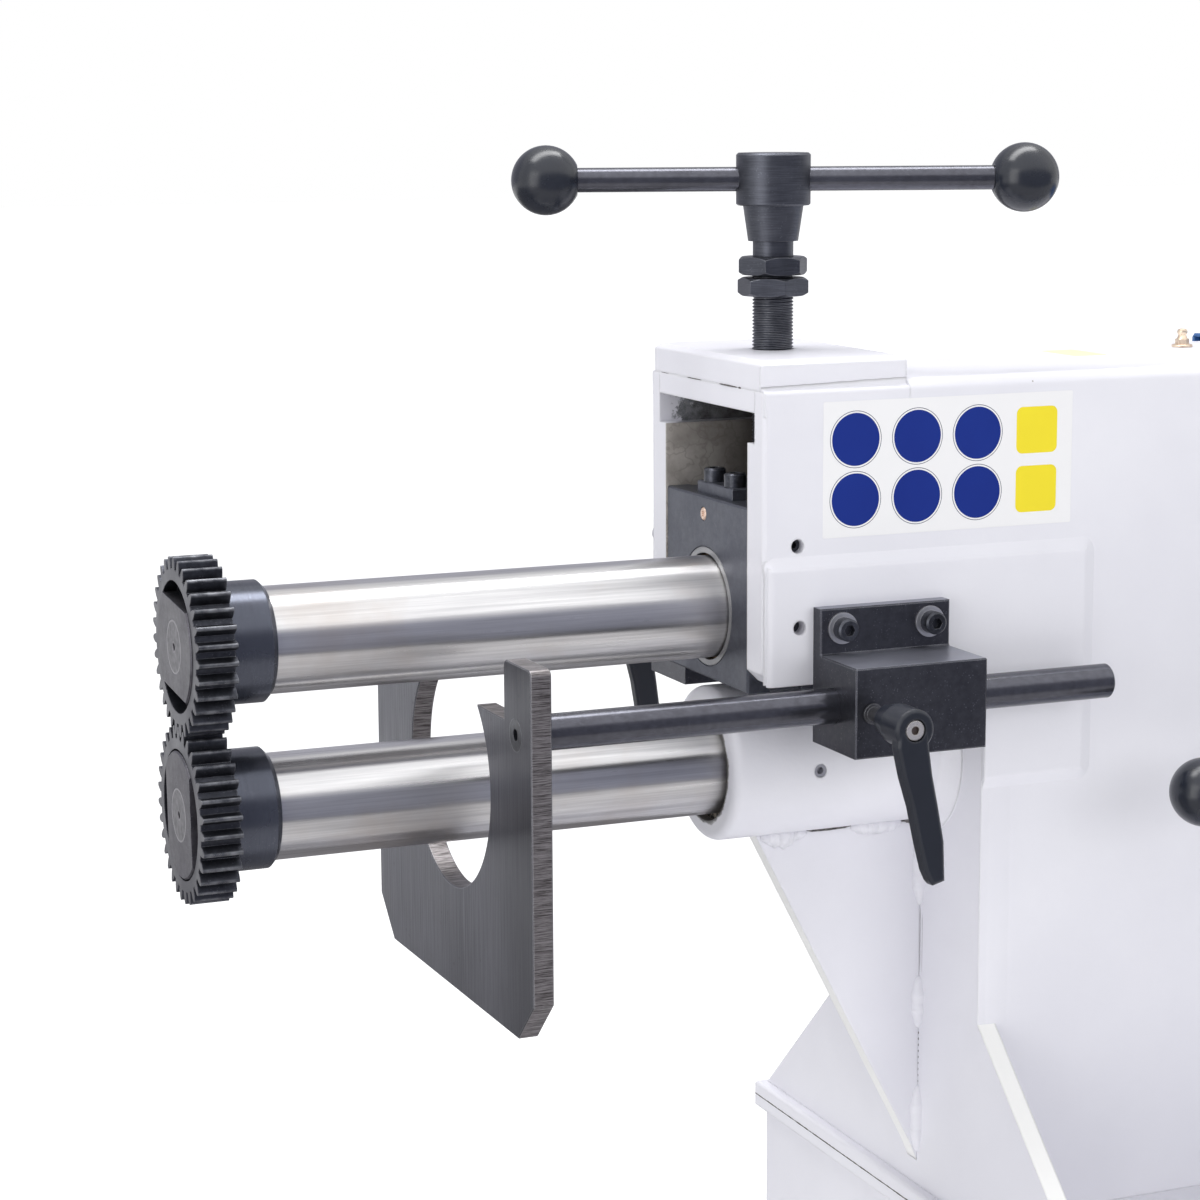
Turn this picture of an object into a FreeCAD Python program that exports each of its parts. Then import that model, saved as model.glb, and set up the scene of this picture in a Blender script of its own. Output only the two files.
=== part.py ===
"""Motor-driven ring roller (bead and swaging roller) on a floor cabinet.

Frame: millimetres, +X from the rolls towards the rear, -Y towards the operator's side, +Z up.
The origin is the centre of the four floor anchor holes, at floor level.
Every node is one STEP file in parts/.
"""
import FreeCAD, Part
import math
import os

V = FreeCAD.Vector
X_AXIS = V(1, 0, 0)
Y_AXIS = V(0, 1, 0)
Z_AXIS = V(0, 0, 1)

# ---------------------------------------------------------------- clearances
RUN_GAP = 0.06            # radial, shaft in a bush or a pin in its bore
SEAT_GAP = 0.05           # radial, a piece that stays where it is fitted
FREE_GAP = 0.4            # between faces that slide past each other
SIDE_GAP = 0.3            # axial play beside a turning piece

CUT_PAST = 1.0            # how far a cutting shape runs past the face it opens
HOLE_DEEPER = 2.0         # blind screw hole beyond the screw's end

# ---------------------------------------------------------------- M8 cap screws and set screws
M8_R = 4.0
M8_HEAD_R = 6.5
M8_HEAD_T = 8.0
M8_SOCKET = 6.0
SET_SCREW_R = 4.0
SET_SCREW_SOCKET = 4.0
SET_SCREW_SOCKET_DEPTH = 4.0
SET_SCREW_SUNK = 6.0      # below the wall's outer face

# ---------------------------------------------------------------- cabinet and base
CABINET_LENGTH = 500.0
CABINET_WIDTH = 412.0
CABINET_HEIGHT = 740.0    # floor to the underside of the cabinet's top flange
CABINET_SHEET = 3.0
FOOT_T = 10.0             # floor flange
FOOT_RIM = 30.0           # how far the floor flange stands out of the cabinet
FOOT_INNER_RIM = 25.0
ANCHOR_EDGE = 15.0        # anchor hole centre to flange edge
ANCHOR_R = 7.0
TOP_FLANGE_T = 8.0
BASE_T = 9.0
BASE_OVERHANG = 6.0       # base plate and top flange beyond the cabinet's walls
PLATE_BREAK = 1.5         # bevel on the base and top plates' upper edges

# ---------------------------------------------------------------- column and head
BODY_WIDTH = 155.0
WALL_T = 21.0
PLATE_T = 12.0            # column front and rear plates
COLUMN_SETBACK = 7.0      # front plate behind the base plate's edge
COLUMN_LENGTH = 321.0     # over front and rear plates
HEAD_REACH = 142.0        # head in front of the column's front plate
FEED_FROM_FRONT = 43.0    # feed screw axis behind the head's front face
HEAD_BELOW_AXIS = 34.5    # head walls' underside below the upper shaft's axis
HEAD_ABOVE_AXIS = 132.0   # walls' top edge above the upper shaft's axis
FRONT_PLATE_LIFT = 3.0    # front plate's top edge below the head walls' underside
FLARE_START = 124.0       # height above the base plate at which the front plate widens
FLARE_EDGE = 5.0          # flare's foot inside the base plate's edge
CAP_T = 17.0
CAP_LENGTH = 92.0
CAP_INSET = 5.0           # cap's sides inside the walls' outer faces
CAP_BEVEL = 3.0
NUT_BLOCK_T = 12.5
NUT_BLOCK_HALF_W = 65.8
NOTCH_DEPTH = 30.0        # cut-out at the top of each head wall
TOP_PLATE_T = 4.0
EDGE_BREAK = 2.0          # bevel on the walls' outer edges
HEAD_CORNER = 7.0         # the walls' lower front corner, cut off
PAD_FRONT = 2.0           # pad's front edge behind the head's front face
PAD_LENGTH = 208.0
PAD_TOP = 33.5            # above the upper shaft's axis
PAD_HEIGHT = 135.0
PAD_T = 3.5
PAD_ROUND = 3.2
GUSSET_T = 12.0
GUSSET_FRONT = 30.0       # gusset's top front corner behind the head's front face
GUSSET_DROP = 209.0       # gusset's height under the housing
GUSSET_OVERLAP = 2.0      # gusset's top inside the housing's outline
GUSSET_TOE = 5.0          # length of the gusset's foot on the front plate
GUSSET_TOE_DROP = 12.0

# ---------------------------------------------------------------- shafts and rolls
LOWER_ABOVE_BASE = 280.5
SHAFT_CENTRES = 94.0
SHAFT_R = 30.0
ROLL_FRONT = 317.0        # roll's front face in front of the head
ROLL_WIDTH = 22.0
ROLL_MODULE = 3.0
ROLL_TEETH = 31
PRESSURE_ANGLE = 20.0
DEDENDUM = 1.25           # in modules
TOOTH_CORNER = 0.12       # in modules
TOOTH_BACKLASH = 0.5
ROLL_BORE_R = 20.0
RECESS_R = 36.5
RECESS_DEPTH = 8.0
ROLL_NUT_R = 35.5
ROLL_NUT_FLATS = 50.0
ROLL_NUT_PROUD = 1.0
ROLL_NUT_BREAK = 0.8
UPPER_NUT_TURN = 5.0      # how the nuts' flats stand, degrees about X
LOWER_NUT_TURN = 88.0
NOSE_R = 15.0
DIMPLE_R = 2.5
DIMPLE_DEPTH = 1.5
COLLAR_R = 34.0
COLLAR_LENGTH = 27.0
COLLAR_BEVEL = 3.0
DRIVE_GEAR_X = 283.0      # drive gears' front face behind the head's front face
DRIVE_GEAR_WIDTH = 24.0
GEAR_HUB_R = 40.0
GEAR_HUB_LENGTH = 13.0
SWIVEL_LENGTH = 40.0
SWIVEL_HALF_H = 40.0
SWIVEL_HALF_W = 50.0
SWIVEL_CORNER = 6.0
TRUNNION_R = 14.0
TRUNNION_DEPTH = 14.0     # pin's end inside the swivel block
TRUNNION_HEAD_R = 19.0
TRUNNION_HEAD_T = 4.0
REAR_COLLAR_LENGTH = 14.0
REAR_COLLAR_R = 40.0
UPPER_TAIL = 8.0          # upper shaft behind its rear collar
SHAFT_BREAK = 1.5

# ---------------------------------------------------------------- lower shaft's housing and bushes
HOUSING_R = 46.0
HOUSING_TAIL = 19.0       # housing behind the column's front plate
HOUSING_AHEAD = 1.5       # housing's front in front of the head
HOUSING_ROUND = 6.0
FLARE_WELD = 10.0         # weld collar where the housing meets the front plate
BUSH_WALL = 4.0
BUSH_SETBACK = 4.0
FRONT_BUSH_LENGTH = 60.0
REAR_BUSH_FLANGE_R = 44.0
REAR_BUSH_FLANGE_T = 8.0
HOUSING_SCREW_X = 53.0    # behind the head's front face
HOUSING_SCREW_SUNK = 0.8

# ---------------------------------------------------------------- yoke and its feed screw
YOKE_SETBACK = 0.5
YOKE_LENGTH = 96.5
YOKE_BELOW_AXIS = 42.5
YOKE_ABOVE_AXIS = 64.5
YOKE_BREAK = 1.2
LIP_T = 3.0               # lip that closes the front of the yoke's bore
LIP_R = 31.4
LIP_GROOVE_R = 34.8       # groove in the yoke's face around the lip
LIP_GROOVE_W = 0.7
LIP_GROOVE_DEPTH = 0.6
BARREL_X = 25.0           # barrel's middle behind the head's front face
BARREL_R = 34.5           # spherical middle of the upper front bush
BARREL_LENGTH = 40.0
BARREL_END_R = 32.7
GIB_X = 15.0              # gib groove's front edge behind the head's front face
GIB_WIDTH = 20.0
GIB_DEPTH = 5.0
GIB_LENGTH = 88.0
GIB_TOP = 57.5            # above the upper shaft's axis
GIB_SCREW_AHEAD = 3.5     # set screws in front of the gib's middle
GIB_SCREW_HIGH = 44.5     # above the upper shaft's axis
GIB_SCREW_LOW = -1.5
FOOT_FLANGE_R = 18.0
FOOT_FLANGE_T = 8.0
NECK_R = 9.0
KEEPER_T = 7.0
KEEPER_HALF_L = 37.0
KEEPER_HALF_W = 24.0
KEEPER_SCREW_X = 30.5
KEEPER_SCREW_Y = 14.0
KEEPER_SCREW_REACH = 13.0 # into the yoke
KEEPER_BREAK = 0.8
GREASE_HOLE_Y = 4.0
GREASE_HOLE_DROP = 10.5   # below the yoke's top
GREASE_HOLE_DEPTH = 8.0
THREAD_R = 12.0
THREAD_PITCH = 2.0
THREAD_DEPTH = 1.1
THREAD_RUN_IN = 1.5       # cone below the first turn
THREAD_CREST = 0.1        # crest's width, in pitches
THREAD_START = 6.0        # above the keeper plate
THREAD_END = 53.5         # above the cap
SCREW_BORE_GAP = 0.35
JAM_NUT_FLATS = 36.0
JAM_NUT_T = 10.4
JAM_NUT_LOW = 31.0        # lower nut's underside above the cap
JAM_NUT_SPACE = 1.7
JAM_NUT_SLOPE = 0.6       # corner bevel's height over its width
JAM_NUT_TURNS = (25.0, 52.0)
HUB_NECK_R = 11.75
HUB_NECK_H = 9.0
HUB_CONE_LOW_R = 14.5
HUB_CONE_TOP_R = 17.5
HUB_CONE_H = 20.4
HUB_R = 21.5
HUB_H = 30.0
HUB_LOW_BREAK = 0.8
HUB_TOP_BREAK = 1.2
HANDLE_BAR_R = 7.0
HANDLE_REACH = 138.5      # ball's centre from the bar's middle
HANDLE_SLIDE = 7.3        # bar's middle from the feed screw's axis
HANDLE_TURN = -20.0       # how the bar stands at rest, degrees about Z
BALL_R = 20.0
BALL_FLAT = 18.0          # ball's flat face from its centre
BALL_SPIGOT_R = 5.0
BALL_SPIGOT_DEPTH = 20.0

# ---------------------------------------------------------------- fence, brackets and clamps
BAR_R = 10.0
BAR_Y = 106.0
BAR_ABOVE_LOWER = 52.0
BAR_REAR = 208.0          # bar's rear end behind the head's front face
BAR_BREAK = 1.0
FENCE_T = 12.0
FENCE_FRONT = 160.0       # fence's front face in front of the head
FENCE_HALF_W = 129.0
FENCE_TOP = 57.5          # above the lower shaft's axis
FENCE_BOTTOM = -117.0
FENCE_CORNER = 24.0
FENCE_HOLE_R = 66.0
FENCE_HOLE_ABOVE = 10.0
EAR_TOP = 90.7
EAR_INNER_Y = 89.0
EAR_ROUND = 4.0
FENCE_EDGE_BREAK = 0.6
FENCE_BOLT_R = 5.0
FENCE_BOLT_HEAD_R = 9.0
FENCE_BOLT_HEAD_T = 4.0
FENCE_BOLT_DEPTH = 24.0
FENCE_BOLT_SOCKET_R = 3.4
FENCE_BOLT_SOCKET_DEPTH = 3.0
BRACKET_X = 29.9          # near bracket's front face behind the head's front face
BRACKET_LENGTH = 82.5
FAR_BRACKET_AHEAD = 6.5   # far bracket further forward than the near one
FAR_BRACKET_LIFT = 4.0    # and higher
BRACKET_PLATE_T = 9.0
BRACKET_PLATE_TOP = 52.0  # above the bar's axis
BRACKET_HALF_H = 25.5
BRACKET_OUT = 27.5        # block's outer face beyond the bar's axis
BRACKET_BREAK = 0.8
BRACKET_SCREW_Z = 40.5
BRACKET_SCREW_INSET = 13.5
BRACKET_WASHER_R = 9.0
BRACKET_WASHER_T = 1.6
BRACKET_SCREW_REACH = 12.0 # into the wall
STUD_R = 4.0
STUD_INSET = 10.15         # stud's axis behind the bracket's front face
LEVER_STANDOFF = 18.0     # lever hub's back from the bracket's face
LEVER_HUB_LENGTH = 32.0
LEVER_HUB_R = 11.5
LEVER_HUB_BACK_R = 8.5
LEVER_TAPER = 0.4         # tapered part of the hub's length
LEVER_HUB_BREAK = 1.5
LEVER_ARM_T = 9.5
LEVER_ARM_BREAK = 1.5
LEVER_SPLAY = 4.0         # arm's end away from the bracket, degrees
LEVER_ARM = [             # arm's outline from the stud's axis, as (x, z)
    (-9.8, 0.0), (-10.6, -9.0), (-7.4, -25.5), (-2.8, -42.0), (1.0, -62.0), (4.4, -77.0),
    (7.0, -83.0), (9.0, -85.4), (16.2, -83.5), (16.2, -62.0), (13.0, -41.5), (10.2, -25.5),
    (8.4, -9.0), (8.2, 0.0),
]
LEVER_SCREW_R = 5.8
LEVER_SCREW_T = 4.0
LEVER_SCREW_SHANK_R = 3.0
LEVER_SCREW_BREAK = 0.6
LEVER_SCREW_SUNK = 0.5    # behind the hub's face at rest
LEVER_SOCKET_R = 2.4
LEVER_SOCKET_DEPTH = 2.5
LEVER_CUP_DEPTH = 9.0
STUD_COLLAR_R = 5.8
STUD_COLLAR_T = 1.6
STUD_GRIP = 9.0           # stud inside the hub
STUD_ROOM = 13.0          # stud's bore in the hub

# ---------------------------------------------------------------- axial shift handle
SHIFT_X = 352.0           # shift handle's axis behind the head's front face
SHIFT_RING_LENGTH = 32.0
SHIFT_RING_R = 46.0
SHIFT_SHAFT_R = 12.0
SHIFT_PIN_R = 5.0
SHIFT_THROW = 4.0         # pin's offset from the handle's axis
SHIFT_PIN_DEPTH = 8.0
SHIFT_SLOT_ROOM = 2.0     # slot deeper than the pin
SHIFT_SHAFT_GAP = 4.0     # shaft's end from the ring
SHIFT_SLOT_HALF_H = 14.0
SHIFT_BEARING_R = 28.0
SHIFT_BEARING_T = 14.5
SHIFT_BEARING_BREAK = 2.0
RING_COLLAR_LENGTH = 10.0
RING_COLLAR_R = 40.0
STAR_PLANE = 72.5         # spokes' plane from the column's near face
STAR_HUB_R = 20.0
STAR_HUB_LENGTH = 28.0
STAR_HUB_BREAK = 2.5
STAR_SOCKET_WALL = 1.0    # between the shaft and a spoke's socket
STAR_SPOKES = 3
STAR_SPOKE_R = 6.0
STAR_REACH = 105.0
STAR_ANGLE = 184.8        # first spoke, degrees from +X towards +Z

# ---------------------------------------------------------------- drive, hood and electrics
TAIL_R = 22.5
TAIL_LENGTH = 122.0
TAIL_STEP = 4.0           # full-size shaft behind the rear plate
KEY_W = 12.0
KEY_H = 4.0
KEY_INSET = 10.0          # key's ends inside the reducer's faces
KEY_SIDE_GAP = 0.15
KEY_TOP_GAP = 0.5
TAIL_BREAK = 1.0
REDUCER_STANDOFF = 20.0
REDUCER_LENGTH = 100.0
REDUCER_HALF_W = 60.0
REDUCER_HALF_H = 62.0
REDUCER_ROUND = 12.0
REDUCER_RING_R = 58.0
REDUCER_RING_WALL = 14.0
SLEEVE_R = 30.0
SLEEVE_PROUD = 4.0
MOTOR_R = 62.0
MOTOR_FLANGE_R = 68.0
MOTOR_FLANGE_T = 12.0
MOTOR_FLOOR_GAP = 14.0
MOTOR_FINS = 24
FIN_DEPTH = 5.0
FIN_W = 7.0
FIN_LOW = 40.0            # fins' lower ends above the motor's end
FIN_DROP = 12.0           # fins' upper ends below the flange
HOOD_OVERLAP = 75.0       # hood's front edge in front of the column's rear face
HOOD_LENGTH = 255.0
HOOD_SHEET = 2.0
HOOD_SIDE_GAP = 4.5
HOOD_TOP_GAP = 2.3
HOOD_BREAK = 2.5
HOOD_SLOTS = 6
SLOT_PITCH = 26.0
SLOT_HEIGHT = 7.0
SLOT_HALF_L = 50.0
CONTROL_REAR_INSET = 50.0 # control box in front of the cabinet's rear
CONTROL_LENGTH = 140.0
CONTROL_DEPTH = 50.0
CONTROL_HEIGHT = 130.0
CONTROL_TOP = 50.0        # below the cabinet's top flange
CONTROL_ROUND = 4.0
CONTROL_BREAK = 1.5
CONTROL_HOLE_DEPTH = 20.0
STOP_X = 40.0             # behind the control box's front
SWITCH_X = 100.0
STEM_R = 11.0
STEM_DEPTH = 12.0         # stem inside the control box's face
STOP_STROKE = 5.0
STOP_STEM_OUT = 8.0
STOP_HEAD = [(0, 0), (0, 17), (3, 20), (9, 20), (14, 16), (16.5, 9), (17, 0)]
SWITCH_GAP = 1.0
SWITCH_DISC_R = 17.0
SWITCH_DISC_T = 8.0
SWITCH_GRIP_T = 13.0
SWITCH_GRIP_HALF_W = 4.5
SWITCH_GRIP_HALF_H = 16.0
SWITCH_GRIP_ROUND = 3.0
GLAND_Y = 120.0
GLAND_Z = 90.0
GLAND_HEX = 24.0
GLAND_HEX_T = 6.0
GLAND_R = 11.0
GLAND_TIP_R = 7.5
GLAND_LENGTH = 25.0
GLAND_TAPER = 5.0
GLAND_SPIGOT_R = 10.0
GLAND_SPIGOT_OUT = 8.0    # spigot inside the panel
GLAND_BORE_R = 5.0

# ---------------------------------------------------------------- derived places
HALF_L = CABINET_LENGTH / 2
HALF_W = CABINET_WIDTH / 2
FLANGE_TOP = CABINET_HEIGHT + TOP_FLANGE_T
BASE_TOP = FLANGE_TOP + BASE_T
BASE_HALF_L = HALF_L + BASE_OVERHANG
BASE_HALF_W = HALF_W + BASE_OVERHANG
BODY_Y = BODY_WIDTH / 2
INNER_Y = BODY_Y - WALL_T
COLUMN_FRONT = -BASE_HALF_L + COLUMN_SETBACK
COLUMN_REAR = COLUMN_FRONT + COLUMN_LENGTH
HEAD_FRONT = COLUMN_FRONT - HEAD_REACH
FEED_X = HEAD_FRONT + FEED_FROM_FRONT
LOWER_Z = BASE_TOP + LOWER_ABOVE_BASE
UPPER_Z = LOWER_Z + SHAFT_CENTRES
HEAD_UNDERSIDE = UPPER_Z - HEAD_BELOW_AXIS
WALL_TOP = UPPER_Z + HEAD_ABOVE_AXIS
CAP_TOP = WALL_TOP + CAP_T
NUT_BLOCK_BOTTOM = WALL_TOP - NUT_BLOCK_T
CAP_REAR = HEAD_FRONT + CAP_LENGTH
ROLL_X = HEAD_FRONT - ROLL_FRONT
SHOULDER_X = ROLL_X + ROLL_WIDTH
COLLAR_REAR = SHOULDER_X + COLLAR_LENGTH
GEAR_X = HEAD_FRONT + DRIVE_GEAR_X
GEAR_REAR = GEAR_X + DRIVE_GEAR_WIDTH
HUB_REAR = GEAR_REAR + GEAR_HUB_LENGTH
SWIVEL_X = HUB_REAR + SIDE_GAP
PIVOT_X = SWIVEL_X + SWIVEL_LENGTH / 2
REAR_COLLAR_X = SWIVEL_X + SWIVEL_LENGTH + SIDE_GAP
YOKE_FRONT = HEAD_FRONT + YOKE_SETBACK
YOKE_REAR = YOKE_FRONT + YOKE_LENGTH
BARREL_MID = HEAD_FRONT + BARREL_X
YOKE_BOTTOM = UPPER_Z - YOKE_BELOW_AXIS
YOKE_TOP = UPPER_Z + YOKE_ABOVE_AXIS
YOKE_HALF_W = INNER_Y - FREE_GAP
KEEPER_TOP = YOKE_TOP + KEEPER_T
GIB_FRONT = HEAD_FRONT + GIB_X
POCKET_FLOOR = YOKE_TOP - FOOT_FLANGE_T - 2 * SIDE_GAP
THREAD_LOW = KEEPER_TOP + THREAD_START
THREAD_TOP = CAP_TOP + THREAD_END
HUB_CONE_Z = THREAD_TOP + HUB_NECK_H
HUB_Z = HUB_CONE_Z + HUB_CONE_H
HANDLE_Z = HUB_Z + HUB_H / 2
BUSH_R = SHAFT_R + BUSH_WALL
HOUSING_FRONT = HEAD_FRONT - HOUSING_AHEAD
HOUSING_REAR = COLUMN_FRONT + PLATE_T + HOUSING_TAIL
REAR_PLATE_X = COLUMN_REAR - PLATE_T
BAR_Z = LOWER_Z + BAR_ABOVE_LOWER
FENCE_X = HEAD_FRONT - FENCE_FRONT
FENCE_REAR = FENCE_X + FENCE_T
BRACKET_FRONT = HEAD_FRONT + BRACKET_X
BRACKET_REAR = BRACKET_FRONT + BRACKET_LENGTH
BRACKET_BACK_Y = BODY_Y + PAD_T
BRACKET_FACE_Y = BAR_Y + BRACKET_OUT
STUD_X = BRACKET_FRONT + STUD_INSET
FAR_OFFSET = V(-FAR_BRACKET_AHEAD, 0, FAR_BRACKET_LIFT)
LEVER_BACK_Y = BRACKET_FACE_Y + LEVER_STANDOFF
LEVER_FRONT_Y = LEVER_BACK_Y + LEVER_HUB_LENGTH
SHIFT_AXIS_X = HEAD_FRONT + SHIFT_X
RING_FRONT = SHIFT_AXIS_X - SHIFT_RING_LENGTH / 2
RING_REAR = SHIFT_AXIS_X + SHIFT_RING_LENGTH / 2
STAR_Y = BODY_Y + STAR_PLANE
REDUCER_X = COLUMN_REAR + REDUCER_STANDOFF
REDUCER_REAR = REDUCER_X + REDUCER_LENGTH
MOTOR_X = REDUCER_X + REDUCER_LENGTH / 2
MOTOR_TOP = LOWER_Z - REDUCER_HALF_H
HOOD_FRONT = COLUMN_REAR - HOOD_OVERLAP
HOOD_REAR = HOOD_FRONT + HOOD_LENGTH
HOOD_INNER_Y = BODY_Y + HOOD_SIDE_GAP
HOOD_Y = HOOD_INNER_Y + HOOD_SHEET
HOOD_UNDER = WALL_TOP + TOP_PLATE_T + HOOD_TOP_GAP
HOOD_TOP = HOOD_UNDER + HOOD_SHEET
CONTROL_X = HALF_L - CONTROL_REAR_INSET - CONTROL_LENGTH
CONTROL_Z = CABINET_HEIGHT - CONTROL_TOP - CONTROL_HEIGHT
CONTROL_FACE_Y = HALF_W + CONTROL_DEPTH


# ---------------------------------------------------------------- shape helpers
def box(x0, x1, y0, y1, z0, z1):
    return Part.makeBox(x1 - x0, y1 - y0, z1 - z0, V(x0, y0, z0))


def rod_x(x0, x1, radius, y, z):
    return Part.makeCylinder(radius, x1 - x0, V(x0, y, z), X_AXIS)


def rod_y(y0, y1, radius, x, z):
    return Part.makeCylinder(radius, y1 - y0, V(x, y0, z), Y_AXIS)


def rod_z(z0, z1, radius, x, y):
    return Part.makeCylinder(radius, z1 - z0, V(x, y, z0), Z_AXIS)


def prism(points, direction):
    """Extrudes a closed polygon of 3-D points along a vector."""
    wire = Part.makePolygon(points + [points[0]])
    return Part.Face(wire).extrude(direction)


def prism_x(outline, x0, x1):
    return prism([V(x0, y, z) for y, z in outline], V(x1 - x0, 0, 0))


def prism_y(outline, y0, y1):
    return prism([V(x, y0, z) for x, z in outline], V(0, y1 - y0, 0))


def turned(outline, base, axis, radial):
    """Revolves (distance along the axis, radius) points about the axis through base."""
    points = [base + axis * along + radial * radius for along, radius in outline]
    wire = Part.makePolygon(points + [points[0]])
    return Part.Face(wire).revolve(base, axis, 360)


def turned_x(outline, y, z):
    return turned(outline, V(0, y, z), X_AXIS, Z_AXIS)


def turned_z(outline, x, y):
    return turned(outline, V(x, y, 0), Z_AXIS, X_AXIS)


def mirrored(shape):
    """The same piece on the far side of the machine."""
    return shape.mirror(V(0, 0, 0), Y_AXIS)


def hexagon_z(flats, z0, z1, x, y, turn=0.0):
    radius = flats / math.sqrt(3)
    points = []
    for corner in range(6):
        angle = math.radians(60 * corner + turn)
        points.append(V(x + radius * math.cos(angle), y + radius * math.sin(angle), z0))
    return prism(points, V(0, 0, z1 - z0))


def cap_screw(place, outward, shank_length):
    """An M8 cap screw whose head sits on place and points outward."""
    head = rod_z(0, M8_HEAD_T, M8_HEAD_R, 0, 0)
    head = bevel_where(head, M8_HEAD_T / 8, lambda edge: lies_at(edge, "Z", M8_HEAD_T))
    head = head.cut(hexagon_z(M8_SOCKET, M8_HEAD_T / 2, M8_HEAD_T + CUT_PAST, 0, 0))
    screw = head.fuse(rod_z(-shank_length, 0, M8_R, 0, 0)).removeSplitter()
    screw.Placement = FreeCAD.Placement(place, FreeCAD.Rotation(Z_AXIS, outward))
    return screw


def bevel_where(shape, size, wanted):
    edges = [edge for edge in shape.Edges if wanted(edge)]
    return shape.makeChamfer(size, edges) if edges else shape


def round_where(shape, radius, wanted):
    edges = [edge for edge in shape.Edges if wanted(edge)]
    return shape.makeFillet(radius, edges) if edges else shape


def lies_at(edge, axis, value):
    """True if the whole edge lies in the plane where the coordinate has the value."""
    low = getattr(edge.BoundBox, axis + "Min")
    high = getattr(edge.BoundBox, axis + "Max")
    return abs(low - value) < 0.01 and abs(high - value) < 0.01


def group(shapes):
    return Part.makeCompound(shapes)


# ---------------------------------------------------------------- cabinet and base plates
def floor_flange():
    rim_x = HALF_L + FOOT_RIM
    rim_y = HALF_W + FOOT_RIM
    plate = box(-rim_x, rim_x, -rim_y, rim_y, 0, FOOT_T)
    inner_x = HALF_L - FOOT_INNER_RIM
    inner_y = HALF_W - FOOT_INNER_RIM
    plate = plate.cut(box(-inner_x, inner_x, -inner_y, inner_y, -1, FOOT_T + CUT_PAST))
    for x in (-1, 1):
        for y in (-1, 1):
            hole_x = x * (rim_x - ANCHOR_EDGE)
            hole_y = y * (rim_y - ANCHOR_EDGE)
            plate = plate.cut(rod_z(-1, FOOT_T + CUT_PAST, ANCHOR_R, hole_x, hole_y))
    return plate


def cabinet_shell():
    """Three wall sheets and the top flange; the rear wall is the removable panel."""
    front = box(-HALF_L, -HALF_L + CABINET_SHEET, -HALF_W, HALF_W, FOOT_T, CABINET_HEIGHT)
    side = box(-HALF_L + CABINET_SHEET, HALF_L, HALF_W - CABINET_SHEET, HALF_W,
               FOOT_T, CABINET_HEIGHT)
    flange = box(-BASE_HALF_L, BASE_HALF_L, -BASE_HALF_W, BASE_HALF_W, CABINET_HEIGHT, FLANGE_TOP)
    return group([front, side, mirrored(side), flange])


def cabinet_rear_panel():
    panel = box(HALF_L, HALF_L + CABINET_SHEET, -HALF_W, HALF_W, FOOT_T, CABINET_HEIGHT)
    hole = rod_x(HALF_L - CUT_PAST, HALF_L + CABINET_SHEET + CUT_PAST, GLAND_SPIGOT_R + SEAT_GAP,
                 GLAND_Y, GLAND_Z)
    return panel.cut(hole)


def base_plate():
    plate = box(-BASE_HALF_L, BASE_HALF_L, -BASE_HALF_W, BASE_HALF_W, FLANGE_TOP, BASE_TOP)
    return bevel_where(plate, PLATE_BREAK, lambda edge: lies_at(edge, "Z", BASE_TOP))


# ---------------------------------------------------------------- column and head
def side_wall_outline():
    """The far wall seen from the operator's side, as (x, z) corners."""
    below = COLUMN_FRONT + PLATE_T
    return [
        (HEAD_FRONT, HEAD_UNDERSIDE + HEAD_CORNER), (HEAD_FRONT + HEAD_CORNER, HEAD_UNDERSIDE),
        (below, HEAD_UNDERSIDE), (below, BASE_TOP), (REAR_PLATE_X, BASE_TOP),
        (REAR_PLATE_X, WALL_TOP), (HEAD_FRONT, WALL_TOP),
    ]


def side_plate(bracket_holes):
    """The far wall, with the holes for one bracket's screws."""
    plate = prism_y(side_wall_outline(), INNER_Y, BODY_Y)
    plate = bevel_where(plate, EDGE_BREAK, outer_wall_edge)
    notch = box(HEAD_FRONT - CUT_PAST, CAP_REAR + FREE_GAP,
                INNER_Y - CUT_PAST, NUT_BLOCK_HALF_W + SEAT_GAP,
                WALL_TOP - NOTCH_DEPTH, WALL_TOP + CUT_PAST)
    plate = plate.cut(notch)
    pin_hole = rod_y(INNER_Y - CUT_PAST, BODY_Y + CUT_PAST, TRUNNION_R + SEAT_GAP, PIVOT_X, UPPER_Z)
    plate = plate.cut(pin_hole)
    for height in (GIB_SCREW_HIGH, GIB_SCREW_LOW):
        hole = rod_y(INNER_Y - CUT_PAST, BODY_Y + PAD_T + CUT_PAST, SET_SCREW_R + SEAT_GAP, gib_screw_x(),
                     UPPER_Z + height)
        plate = plate.cut(hole)
    for x, z in bracket_holes:
        deep = BODY_Y - BRACKET_SCREW_REACH - HOLE_DEEPER
        plate = plate.cut(rod_y(deep, BODY_Y + CUT_PAST, M8_R + SEAT_GAP, x, z))
    return plate


def far_side_plate():
    return side_plate(far_screw_places())


def outer_wall_edge(edge):
    """The wall's outer top and front edges, which are bevelled for painting."""
    outside = lies_at(edge, "Y", BODY_Y)
    top = lies_at(edge, "Z", WALL_TOP)
    front = edge.BoundBox.XMax < COLUMN_FRONT + 1
    return outside and (top or front)


def near_side_plate():
    plate = mirrored(side_plate(near_screw_places()))
    return plate.cut(rod_y(-BODY_Y - CUT_PAST, -INNER_Y + CUT_PAST, SHIFT_SHAFT_R + FREE_GAP,
                           SHIFT_AXIS_X, LOWER_Z))


def gib_screw_x():
    return GIB_FRONT + GIB_WIDTH / 2 - GIB_SCREW_AHEAD


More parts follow.
